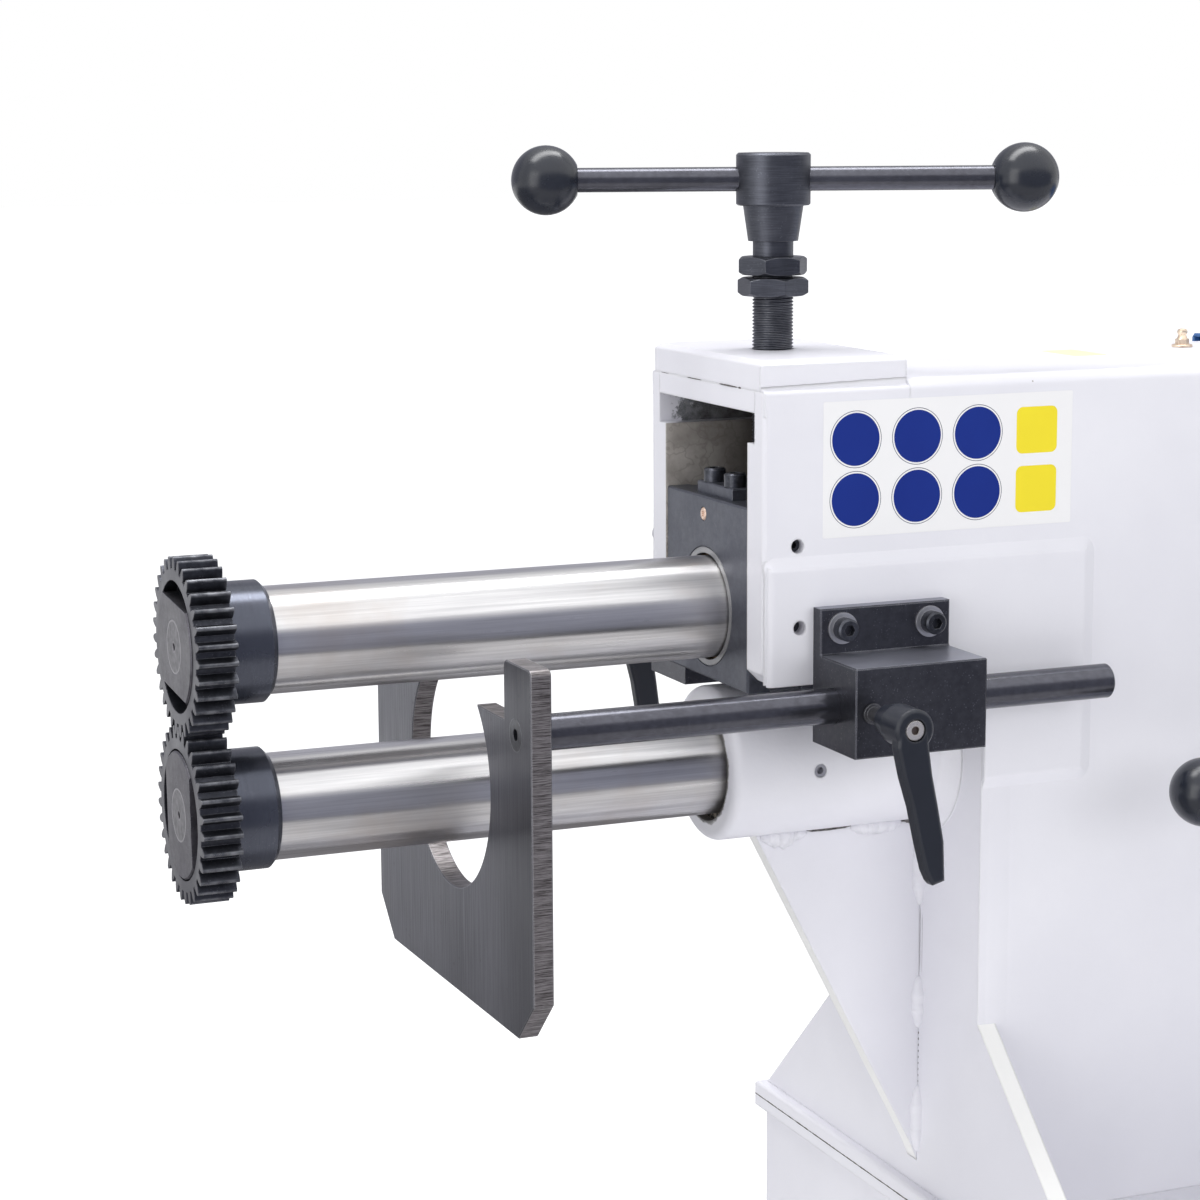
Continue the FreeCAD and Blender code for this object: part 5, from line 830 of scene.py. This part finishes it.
# %% Hand out the finishes
OUTFIT = {
    plain_paint: ["cabinet_shell", "cabinet_rear_panel", "base_plate", "floor_flange", "head_cap",
                  "body_top_plate", "column_rear_plate", "side_pads", "feed_nut_block"],
    flare_paint: ["column_front_plate", "web_gusset"],
    housing_paint: ["lower_housing"],
    wall_paint: ["near_side_plate", "far_side_plate"],
    hood_paint: ["rear_hood"],
    drive_paint: ["gearmotor"],
    box_paint: ["control_box"],
    yoke_oxide: ["yoke_block"],
    block_oxide: ["screw_keeper", "yoke_gibs", "upper_swivel_block"],
    bracket_oxide: ["near_bracket", "far_bracket", "shift_bearing", "trunnion_pins"],
    bar_oxide: ["fence_bar", "handle_bar", "star_handle"],
    collar_oxide: ["upper_collars", "lower_collars", "shift_ring", "reducer_sleeve", "upper_drive_gear",
                   "lower_drive_gear"],
    turned_oxide: ["handle_hub", "jam_nuts", "shift_shaft", "feed_screw"],
    screw_oxide: ["keeper_screws", "fence_bolt"],
    washer_oxide: ["bracket_screws"],
    set_oxide: ["set_screws"],
    upper_roll_steel: ["upper_roll"],
    lower_roll_steel: ["lower_roll"],
    nut_steel: ["upper_roll_nut", "lower_roll_nut"],
    ground_steel: ["upper_shaft", "lower_shaft"],
    scale_steel: ["fence_plate"],
    bronze: ["upper_front_bush"],
    bush_grime: ["lower_bushes"],
    stud_oxide: ["near_clamp_stud", "far_clamp_stud"],
    lever_plastic: ["near_clamp_lever", "far_clamp_lever", "cable_gland", "switch_knob"],
    ball_plastic: ["handle_balls", "star_balls"],
    stop_plastic: ["stop_button"],
}

for finish, names in OUTFIT.items():
    for name in names:
        solid = solids[name]
        solid.data.materials.clear()
        solid.data.materials.append(finish.material)
dressed = sum(len(names) for names in OUTFIT.values())
print("dressed", dressed, "of", len(solids), "solids")

# %% [markdown]
# ## A workbench for pieces
# The small pieces are made in mesh code. Most are turned parts: a list of (height, radius) points
# swept round an axis, with a hexagon's flats where a bolt head or a socket needs them. The helpers
# stand each part at its place, give it a finish and let it ride on the body that carries it. Most
# things here come in pairs, so the two sides of the machine have names too.

# %% Turned and hexagonal pieces
SIDES = 48
ENDS = (("near", -1), ("far", 1))


def linked(name, vertices, faces, finish, body, sharp=35):
    """Makes a piece in the row frame and lets it ride on a body."""
    mesh = bpy.data.meshes.new(name)
    mesh.from_pydata([tuple(vertex) for vertex in vertices], [], faces)
    mesh.update()
    mesh.shade_smooth()
    mesh.set_sharp_from_angle(angle=math.radians(sharp))
    mesh.materials.append(finish.material)
    piece = placed(name, mesh)
    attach(piece, body)
    return piece


def skin(rows, sides):
    """The faces of a tube of rows with that many points each, closed at both ends."""
    faces = [tuple(reversed(range(sides)))]
    for row in range(rows - 1):
        for step in range(sides):
            here = row * sides + step
            there = row * sides + (step + 1) % sides
            faces.append((here, there, there + sides, here + sides))
    return faces + [tuple(range((rows - 1) * sides, rows * sides))]


def swept(profile, sides=SIDES):
    """Sweeps (height, radius) or (height, radius, flats) points round +Z, closed at both ends."""
    vertices = []
    for height, radius, *flats in profile:
        for step in range(sides):
            angle = 2 * math.pi * step / sides
            from_flat = (angle + math.pi / 6) % (math.pi / 3) - math.pi / 6
            reach = min(radius, flats[0] / 2 / math.cos(from_flat)) if flats else radius
            vertices.append(Vector((reach * math.cos(angle), reach * math.sin(angle), height)))
    return vertices, skin(len(profile), sides)


def stood(name, profile, place, way, finish, body):
    """A swept part with its foot at a place, pointing a way."""
    vertices, faces = swept(profile)
    stand = Matrix.Translation(Vector(place)) @ Vector(way).to_track_quat("Z", "Y").to_matrix().to_4x4()
    return linked(name, [stand @ vertex for vertex in vertices], faces, finish, body)


print("piece helpers ready")

# %% [markdown]
# ## The feed screw's thread
# In the solids the thread is a stack of rings, which is enough for the physics. A real thread climbs.
# Here each row of points follows the helix: one turn further round, it is one pitch higher, so the
# last column joins the first one three rows up, and the ridge never breaks. A plain core runs inside.

# %% Cut the thread
PITCH = 0.002
CREST_R = 0.012
ROOT_R = 0.0109
NECK_R = 0.009
FOOT_R = 0.018
FOOT_T = 0.008
CORE_GAP = 0.00002
THREAD_ROWS = ((0.0, ROOT_R), (0.44, CREST_R), (0.56, CREST_R))
KEEPER_GAP = 0.006
NECK_TAPER = 0.0015

screw_low, screw_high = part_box("feed_screw")
screw_x = (screw_low.x + screw_high.x) / 2
thread_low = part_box("screw_keeper")[1].z + KEEPER_GAP
turns = int((screw_high.z - thread_low) / PITCH) - 1

core = [(screw_low.z, FOOT_R), (screw_low.z + FOOT_T, FOOT_R), (screw_low.z + FOOT_T, NECK_R),
        (thread_low - NECK_TAPER, NECK_R), (thread_low, ROOT_R - CORE_GAP),
        (screw_high.z, ROOT_R - CORE_GAP)]
vertices, faces = swept(core)
first = len(vertices)
rows = [(turn + share, radius) for turn in range(turns) for share, radius in THREAD_ROWS]
rows.append((turns, ROOT_R))
for climbed, radius in rows:
    for step in range(SIDES):
        angle = 2 * math.pi * step / SIDES
        height = thread_low + PITCH * (climbed + step / SIDES)
        vertices.append(Vector((radius * math.cos(angle), radius * math.sin(angle), height)))
for row in range(len(rows) - 1):
    for step in range(SIDES):
        here = first + row * SIDES + step
        last = step == SIDES - 1
        if last and row + 1 + len(THREAD_ROWS) >= len(rows):
            continue
        there = here + 1 if not last else first + (row + len(THREAD_ROWS)) * SIDES
        faces.append((here, there, there + SIDES, here + SIDES))
at_axis = Vector((screw_x, 0, 0))
thread = linked("helical_feed_screw", [vertex + at_axis for vertex in vertices], faces, turned_oxide,
                "screw", sharp=25)
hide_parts("feed_screw")
print("thread:", turns, "turns,", len(thread.data.polygons), "faces")

# %% [markdown]
# ## Screws, bolts and grease points
# Sheet metal is held by hexagon screws on washers. Both are turned parts, so a profile is all that
# they need: the heights and radii below are shares of the hexagon's width across its flats.

# %% Profiles of the fasteners
def hexagon_head(flats, height):
    """Washer face, hexagon with rounded corners, and a shallow dish on top."""
    corner = flats / math.sqrt(3)
    return [(0, flats * 0.47), (height * 0.06, flats * 0.47), (height * 0.06, corner, flats),
            (height * 0.82, corner, flats), (height, flats * 0.47), (height * 0.96, flats * 0.36)]


def washer(radius, thickness, hole):
    """A plain washer; its hole is a shallow ring that the head covers."""
    edge = thickness * 0.25
    return [(0, radius - edge), (edge, radius), (thickness - edge, radius), (thickness, radius - edge),
            (thickness, hole)]


def fastened(name, place, way, flats, height):
    """A hexagon screw on its washer."""
    seat = flats * 0.13
    stood(f"{name}_washer", washer(flats * 0.72, seat, flats * 0.3), place, way, bright_steel, "frame")
    stood(f"{name}_screw", hexagon_head(flats, height), Vector(place) + Vector(way) * seat, way,
          bright_steel, "frame")


print("fastener profiles ready")

# %% [markdown]
# The rear panel has three screws on each side, the base plate is bolted to the cabinet at its four
# corners, and the hood stands off the walls on spacers, with a screw through each. Every place is
# measured from the box of the solid that the screw sits on.

# %% Fasten the sheets and the base
PANEL_FLATS, PANEL_HEAD = 0.008, 0.0035
PANEL_EDGE = 0.016
PANEL_Z = (0.04, 0.375, 0.71)
BASE_FLATS, BASE_HEAD = 0.019, 0.0075
BASE_X, BASE_Y = (-0.056, 0.196), 0.172
HOOD_X, HOOD_Z = 0.022, (0.837, 1.203)
HOOD_T = 0.002
SPACER_R, SPACER_HOLE_R = 0.007, 0.0035

panel_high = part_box("cabinet_rear_panel")[1]
base_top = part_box("base_plate")[1].z
hood_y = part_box("rear_hood")[1].y
wall_y = wall_high.y
for end, side in ENDS:
    for row, height in enumerate(PANEL_Z):
        fastened(f"panel_{end}_{row}", (panel_high.x, side * (panel_high.y - PANEL_EDGE), height),
                 (1, 0, 0), PANEL_FLATS, PANEL_HEAD)
for end, side in ENDS:
    for number, x in enumerate(BASE_X):
        fastened(f"base_{end}_{number}", (x, side * BASE_Y, base_top), (0, 0, 1), BASE_FLATS, BASE_HEAD)
for end, side in ENDS:
    for number, height in enumerate(HOOD_Z):
        stood(f"hood_{end}_spacer_{number}", washer(SPACER_R, hood_y - HOOD_T - wall_y, SPACER_HOLE_R),
              (HOOD_X, side * wall_y, height), (0, side, 0), bright_steel, "frame")
        fastened(f"hood_{end}_{number}", (HOOD_X, side * hood_y, height), (0, side, 0), PANEL_FLATS,
                 PANEL_HEAD)
print("screws:", len(PANEL_Z) * 2, "panel,", len(BASE_X) * 2, "base,", len(HOOD_Z) * 2, "hood")

# %% [markdown]
# A grease nipple on the body's top feeds the swivel block, and a copper plug closes the yoke's grease
# channel. A nipple is a flange, a hexagon, a neck and a ball with a hole in it, all on one profile.

# %% Grease nipple and plug
NIPPLE = [(0, 0.0062), (0.0003, 0.0066), (0.0014, 0.0066), (0.0017, 0.0062), (0.0017, 0.0044, 0.0076),
          (0.0050, 0.0044, 0.0076), (0.0055, 0.0033), (0.0075, 0.0025), (0.0083, 0.0030),
          (0.0098, 0.0033), (0.0110, 0.0028), (0.0115, 0.0014), (0.0112, 0.0008)]
NIPPLE_PLACE = (-0.0413, 0.0383)
PLUG_Y, PLUG_DROP = 0.004, 0.0105
PLUG = [(-0.004, 0.0039), (-0.0004, 0.0039), (0.0002, 0.0034), (0.0003, 0.0015), (-0.0008, 0.0012)]
top_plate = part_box("body_top_plate")[1].z
stood("grease_nipple", NIPPLE, (*NIPPLE_PLACE, top_plate), (0, 0, 1), brass, "frame")
stood("grease_plug", PLUG, (yoke_front, PLUG_Y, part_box("yoke_block")[1].z - PLUG_DROP), (-1, 0, 0),
      copper, "yoke")
print("grease points at", round(top_plate, 4), "and the yoke")

# %% [markdown]
# ## The sticker
# A vinyl sheet with six blue discs and two yellow shapes sits on the head's near side, and a pale
# yellow square on the top plate. They stay blank. Each is a thin plate of its own: printed ink has no
# thickness, but a plate a few hundredths of a millimetre proud of the sheet keeps its edge crisp and
# can't flicker against it.

# %% Print the sticker
def plate(name, corners, lift, finish):
    """A thin plate on the body: its corners in order, and how far it stands out."""
    count = len(corners)
    vertices = corners + [corner + lift for corner in corners]
    faces = [tuple(range(count - 1, -1, -1)), tuple(range(count, 2 * count))]
    faces += [(n, (n + 1) % count, (n + 1) % count + count, n + count) for n in range(count)]
    return linked(name, vertices, faces, finish, "frame", sharp=60)


def plate_y(name, outline, y, thickness, finish):
    """A closed (x, z) outline made into a thin plate on the near side, facing -Y."""
    return plate(name, [Vector((x, y, z)) for x, z in outline], Vector((0, -thickness, 0)), finish)


def rounded_box(x, z, half_w, half_h, corner, steps=6):
    """Outline of a rectangle with round corners, about (x, z)."""
    outline = []
    for quarter, (side, up) in enumerate(((1, 1), (-1, 1), (-1, -1), (1, -1))):
        for step in range(steps + 1):
            angle = math.pi / 2 * (quarter + step / steps)
            outline.append((x + side * (half_w - corner) + corner * math.cos(angle),
                            z + up * (half_h - corner) + corner * math.sin(angle)))
    return outline


def disc(name, x, z, radius, thickness, finish):
    """A round plate on the sheet."""
    plate_y(name, rounded_box(x, z, radius, radius, radius, 16), sheet_y - SHEET_T, thickness, finish)


print("plate helpers ready")

# %% [markdown]
# Each disc is three plates, one on the other: a thin dark line, a white gap inside it, and the blue.
# Stacking whole discs is simpler than cutting rings, and each next one stands a little further out.

# %% Lay out the discs and the yellow shapes
SHEET_T = 0.00012
INK_T = 0.00004
SHEET_X = (-0.354, -0.1925)
SHEET_Z = (1.1795, 1.2565)
DISC_R = 0.0150
LINE_R = 0.0163
LINE_W = 0.0004
DISC_X = (-0.3335, -0.2942, -0.2551)
DISC_Z = (1.2347, 1.2005)
YELLOW_X, YELLOW_HALF, YELLOW_CORNER = -0.2161, 0.0135, 0.004
TOP_SQUARE = (-0.126, 0.030, 0.012, 0.021, 0.003)
sheet_y = -wall_y
middle_x = sum(SHEET_X) / 2
middle_z = sum(SHEET_Z) / 2
plate_y("sticker", rounded_box(middle_x, middle_z, (SHEET_X[1] - SHEET_X[0]) / 2,
                               (SHEET_Z[1] - SHEET_Z[0]) / 2, 0.001), sheet_y, SHEET_T, label_vinyl)
for row, z in enumerate(DISC_Z):
    for column, x in enumerate(DISC_X):
        disc(f"sticker_line_{row}_{column}", x, z, LINE_R, INK_T, label_line)
        disc(f"sticker_gap_{row}_{column}", x, z, LINE_R - LINE_W, INK_T * 2, label_vinyl)
        disc(f"sticker_disc_{row}_{column}", x, z, DISC_R, INK_T * 3, label_blue)
    plate_y(f"sticker_yellow_{row}", rounded_box(YELLOW_X, z, YELLOW_HALF, YELLOW_HALF, YELLOW_CORNER),
            sheet_y - SHEET_T, INK_T, label_yellow)
top_square = rounded_box(*TOP_SQUARE)
plate("top_sticker", [Vector((x, y, top_plate)) for x, y in top_square], Vector((0, 0, SHEET_T)), label_pale)
print("sticker:", len(DISC_Z) * len(DISC_X), "discs")

# %% [markdown]
# ## Weld beads
# The gusset under the housing is tacked with short weld beads and painted over. A bead is a tube laid
# in the corner: its radius swells and shrinks with each ripple of the arc, bulges unevenly round its
# axis, and tapers at both ends.
# Between the beads the corner stays open, and the paint has cracked there into thin dark lines.

# %% Lay the beads
RIPPLE = 0.0034
BEAD_SIDES = 14
BEAD_STEP = 0.0006


def bead(name, start, end, radius, seed, lumps):
    """A weld bead from start to end, half sunk into the corner it fills."""
    chance = random.Random(seed)
    start, end = Vector(start), Vector(end)
    way = (end - start).normalized()
    turn = way.to_track_quat("Z", "Y").to_matrix()
    length = (end - start).length
    count = max(8, int(length / BEAD_STEP))
    vertices = []
    swell = 1.0
    for step in range(count + 1):
        share = step / count
        from_end = min(share, 1 - share) * length
        taper = min(1.0, math.sqrt(max(from_end, 0.00002) / (radius * 2.2)))
        swell += chance.uniform(-0.6, 0.6) * lumps
        swell = min(1.20, max(0.80, swell))
        ripple = 1 + lumps * abs(math.sin(math.pi * share * length / RIPPLE))
        for side in range(BEAD_SIDES):
            angle = 2 * math.pi * side / BEAD_SIDES
            lump = 1 + lumps * math.sin(3 * angle + seed + 23 * share)
            reach = radius * taper * swell * ripple * lump
            offset = turn @ Vector((reach * math.cos(angle), reach * math.sin(angle), 0))
            vertices.append(start.lerp(end, share) + offset)
    linked(name, vertices, skin(count + 1, BEAD_SIDES), plain_paint, "frame", sharp=80)


GUSSET_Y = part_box("web_gusset")[1].y
PLATE_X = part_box("column_front_plate")[0].x
HOUSING_R = 0.046
HOUSING_CORNER_Z = LOWER_Z - math.sqrt(HOUSING_R ** 2 - GUSSET_Y ** 2)
PLATE_BEADS = ((0.9840, 0.9365), (0.8921, 0.8582), (0.8215, 0.7785))
HOUSING_BEADS = ((-0.3580, -0.3267), (-0.2978, -0.2630))
HOUSING_BEAD_Z = HOUSING_CORNER_Z - 0.0015

for end, side in ENDS:
    for number, (top, foot) in enumerate(PLATE_BEADS):
        bead(f"plate_bead_{end}_{number}", (PLATE_X, side * GUSSET_Y, top), (PLATE_X, side * GUSSET_Y, foot),
             0.0056, 10 + number, 0.04)
    for number, (front, rear) in enumerate(HOUSING_BEADS):
        bead(f"housing_bead_{end}_{number}", (front, side * GUSSET_Y, HOUSING_BEAD_Z),
             (rear, side * GUSSET_Y, HOUSING_BEAD_Z), 0.0066 - 0.0008 * number, 20 + number, 0.11)
print("beads:", 2 * (len(PLATE_BEADS) + len(HOUSING_BEADS)))

# %% [markdown]
# ## Filler
# Before painting, the fitter fills the corners: along the cap, round the side pads, where the housing
# runs into the front plate, and over the joint at the column's corner. Filler is a strip with a soft
# section. Each strip below is a list of stations: a corner point, the way up from the lower surface,
# the way out along it, and how far it reaches up, out and back. A shape says how far along and how
# high the surface is, and its ends dive a little under the paint around them, so that no rim shows.
# A face's front is the side from which its corners run anticlockwise. A section that is mirrored to
# the machine's other side runs the other way round, so there the faces are turned over.

# %% Spread the filler
SLOPE_STEPS = 10
DIVE = 0.00025


def slope(share):
    """Level at both ends."""
    return share, 1 - share * share * (3 - 2 * share)


def hollow(share):
    """A quarter circle that leaves both surfaces in line with them."""
    turn = share * math.pi / 2
    return 1 - math.cos(turn), 1 - math.sin(turn)


def ridge(share):
    """Low at both sides and high in the middle."""
    return share, math.sin(math.pi * share)


def strip(name, sections):
    """A closed strip through sections with the same number of points."""
    vertices = [point for section in sections for point in section]
    faces = skin(len(sections), len(sections[0]))
    if geometry.normal(sections[0]).dot(sections[1][0] - sections[0][0]) < 0:
        faces = [face[:1] + face[:0:-1] for face in faces]
    linked(name, vertices, faces, plain_paint, "frame", sharp=50)


def filler(name, stations, shape):
    """A soft strip along stations of (corner, up, out, height, reach, back)."""
    sections = []
    for corner, up, out, height, reach, back in stations:
        corner, up, out = Vector(corner), Vector(up), Vector(out)
        section = []
        for step in range(SLOPE_STEPS + 1):
            along, high = shape(step / SLOPE_STEPS)
            rise = (height + DIVE) * high - DIVE
            section.append(corner + out * (along * (reach + back) - back) + up * rise)
        section.append(corner + out * reach - up * 3 * DIVE)
        section.append(corner - out * back - up * 3 * DIVE)
        sections.append(section)
    strip(name, sections)


cap_low, cap_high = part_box("head_cap")
top_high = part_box("body_top_plate")[1]
wall_top = wall_high.z
pad_low, pad_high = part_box("side_pads")
print("walls end at", round(wall_top, 4), "pads stand", round(pad_high.y - wall_y, 4), "proud")

# %% [markdown]
# The filler along the cap also runs over the wall's upper edge and a little way down its side, so that
# cap and wall look like one casting. Its section is a hollow, a round edge and a long thin tail. It
# gets higher towards the rear, and a fitter's hand is not quite steady, which a little chance copies.

# %% Along the cap and the top plate
CAP_STATIONS = 24
COAT = 0.0002
EDGE_R = 0.0024
TAIL = 0.012


def cap_section(height, ledge):
    """(out, up) points from the cap's side over a ledge of that width and down the wall."""
    points = []
    for step in range(SLOPE_STEPS + 1):
        along, high = hollow(step / SLOPE_STEPS)
        points.append((along * (ledge + COAT - EDGE_R) - 0.0001, COAT + high * (height - COAT)))
    for step in range(1, 7):
        angle = math.radians(90 - 15 * step)
        points.append((ledge + COAT - EDGE_R + EDGE_R * math.cos(angle),
                       COAT - EDGE_R + EDGE_R * math.sin(angle)))
    points.append((ledge - COAT, -EDGE_R - TAIL))
    return points + [(ledge - 0.0012, -EDGE_R - TAIL), (ledge - 0.0030, -0.0012), (-0.0006, -0.0006)]


TOP_SECTION = [(-0.0050, 0.0038), (-0.0035, 0.00415), (-0.0015, 0.0041), (0.0, 0.0036), (0.0012, 0.0029),
               (0.0024, 0.0020), (0.0034, 0.0010), (0.0043, -0.0001), (0.0049, -0.0014),
               (0.0052, -0.0030), (0.0051, -0.0060), (0.0048, -0.0150), (0.0038, -0.0150),
               (0.0020, -0.0012), (-0.0045, 0.0030)]

for end, side in ENDS:
    chance = random.Random(7)
    places = []
    for step in range(CAP_STATIONS + 1):
        share = step / CAP_STATIONS
        x = cap_low.x + 0.0006 + share * (cap_high.x - cap_low.x - 0.0006)
        places.append((x, 0.0032 + 0.0032 * share + chance.uniform(-0.0002, 0.0002)))
    strip(f"top_filler_{end}", [[Vector((x, side * (top_high.y + out), wall_top + up))
                                 for out, up in TOP_SECTION]
                                for x in (cap_high.x - 0.0002, top_high.x - 0.0006)])
    strip(f"cap_filler_{end}", [[Vector((x, side * (cap_high.y + out), wall_top + up))
                                 for out, up in cap_section(height, wall_y - cap_high.y)]
                                for x, height in places])
print("cap filler:", CAP_STATIONS, "steps")

# %% [markdown]
# The filler round a side pad is one strip that turns three corners. At each corner the way out swings
# round in a fan of steps, so that the strip stays as wide there as along the edges.

# %% Round the side pads
HEAD_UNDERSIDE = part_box("column_front_plate")[1].z + 0.003
PAD_REACH = 0.0068
PAD_FRONT_REACH = 0.0014
PAD_BACK = 0.0036
FAN_STEPS = 5
pad_front, pad_rear = pad_low.x + PAD_BACK, pad_high.x - PAD_BACK
pad_foot, pad_top = pad_low.z + PAD_BACK, pad_high.z - PAD_BACK
pad_path = [(pad_front, HEAD_UNDERSIDE + 0.001), (pad_front, pad_top), (pad_rear, pad_top),
            (pad_rear, pad_foot), (PLATE_X + 0.0005, pad_foot)]
ways_out = [(-1, 0), (0, 1), (1, 0), (0, -1)]
reaches = [PAD_BACK + reach for reach in (PAD_FRONT_REACH, PAD_REACH, PAD_REACH, PAD_REACH)]
pad_height = pad_high.y - wall_y - 0.0001
for end, side in ENDS:
    stations = []
    for leg in range(len(ways_out)):
        fan = FAN_STEPS if leg else 0
        for step in range(fan + 1):
            turn = step / fan if fan else 1.0
            before, after = Vector(ways_out[max(leg - 1, 0)]), Vector(ways_out[leg])
            out = before.slerp(after, turn) if fan else after
            reach = reaches[max(leg - 1, 0)] * (1 - turn) + reaches[leg] * turn
            x, z = pad_path[leg]
            stations.append(((x, side * wall_y, z), (0, side, 0), (out.x, 0, out.y), pad_height, reach, 0))
    x, z = pad_path[-1]
    stations.append(((x, side * wall_y, z), (0, side, 0), (0, 0, -1), pad_height, reaches[-1], 0))
    filler(f"pad_filler_{end}", stations, slope)
print("pad filler round", len(pad_path) - 2, "corners")

# %% [markdown]
# Where the housing runs into the front plate the filler is a ring with a hollow section. Over the
# joint at the column's corner it is a low ridge, which narrows to nothing at both ends.

# %% Round the housing and over the column's joint
FLARE_R = HOUSING_R + 0.010
RING_FROM, RING_TO = -190, 10
RING_STEPS = 60
FLARE_START = 0.124
JOINT_TAPER = 0.012
ring = []
for step in range(RING_STEPS + 1):
    angle = math.radians(RING_FROM + (RING_TO - RING_FROM) * step / RING_STEPS)
    out = Vector((0, math.cos(angle), math.sin(angle)))
    ring.append((Vector((PLATE_X, 0, LOWER_Z)) + out * FLARE_R, (-1, 0, 0), out, 0.005, 0.0032, 0.005))
filler("housing_filler", ring, hollow)

JOINT_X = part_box("column_front_plate")[1].x
for end, side in ENDS:
    foot, top = base_top + FLARE_START - JOINT_TAPER, pad_low.z - 0.0015
    heights = [(foot, -0.0001, 0.1), (foot + JOINT_TAPER, 0.0002, 1), (top - 0.006, 0.0002, 1),
               (top, -0.0001, 0.1)]
    filler(f"joint_filler_{end}", [((JOINT_X, side * wall_y, z), (0, side, 0), (1, 0, 0), height,
                                    0.012 * width, 0.0112 * width) for z, height, width in heights], ridge)
print("housing filler:", RING_STEPS, "steps")

# %% [markdown]
# ## Cracks in the paint
# A crack is drawn as a very thin spindle, pointed at both ends, half sunk in the paint. That is
# enough for a dark line that ends softly. The dashes under the cap show where the nut block is let in.

# %% Draw the cracks
def crack(name, start, end, half_width):
    """A dark spindle between two points."""
    start, end = Vector(start), Vector(end)
    turn = (end - start).to_track_quat("Z", "Y").to_matrix()
    length = (end - start).length
    shape = [(0.0, 0.1), (0.12, 0.8), (0.5, 1.0), (0.85, 0.75), (1.0, 0.1)]
    vertices, faces = swept([(share * length, half_width * reach) for share, reach in shape], 8)
    linked(name, [start + turn @ vertex for vertex in vertices], faces, crack_dark, "frame")


print("crack helper ready")

# %% [markdown]
# Under the cap the dashes are listed one by one. Under the housing a crack lies between the two beads,
# and two short gaps close it. Beside the front plate's beads run two hairlines and a row of dots, the
# pinholes of a bead that was ground flat.

# %% Place the cracks
CAP_DASHES = ((0.0637, 0.0520, 0.00014), (0.0259, 0.0048, 0.00030), (-0.0186, -0.0440, 0.00048),
              (-0.0450, -0.0481, 0.00055))
HOUSING_CRACK_X = (-0.3275, -0.2970)
HOUSING_GAPS = ((-0.2640, -0.2560, 0.0002), (-0.2605, -0.2545, 0.0012))
PLATE_HAIRLINES = ((1.08, 0.9365, 0.8921, 0.00014), (1.5, 0.9325, 0.8925, 0.00010))
DOTS, DOT_TOP, DOT_PITCH, DOT_LENGTH = 9, 0.8560, 0.0039, 0.0016
crack_z = HOUSING_CORNER_Z - 0.0005
for number, (from_y, to_y, half_width) in enumerate(CAP_DASHES):
    crack(f"cap_crack_{number}", (cap_low.x, from_y, cap_low.z), (cap_low.x, to_y, cap_low.z), half_width)
for end, side in ENDS:
    y = side * GUSSET_Y
    crack(f"housing_crack_{end}", (HOUSING_CRACK_X[0], y * 1.04, crack_z),
          (HOUSING_CRACK_X[1], y * 1.04, crack_z), 0.0014)
    for number, (front, rear, drop) in enumerate(HOUSING_GAPS):
        crack(f"housing_gap_{end}_{number}", (front, y * 1.15, HOUSING_CORNER_Z - drop),
              (rear, y * 1.15, crack_z - drop), 0.0012)
    for number, (outward, top, foot, half_width) in enumerate(PLATE_HAIRLINES):
        crack(f"plate_crack_{end}_{number}", (PLATE_X, y * outward, top), (PLATE_X, y * outward, foot),
              half_width)
    for dot in range(DOTS):
        z = DOT_TOP - dot * DOT_PITCH
        crack(f"plate_dot_{end}_{dot}", (PLATE_X, y, z), (PLATE_X, y, z - DOT_LENGTH),
              0.0004 - dot * 0.00003)
print("cracks drawn")
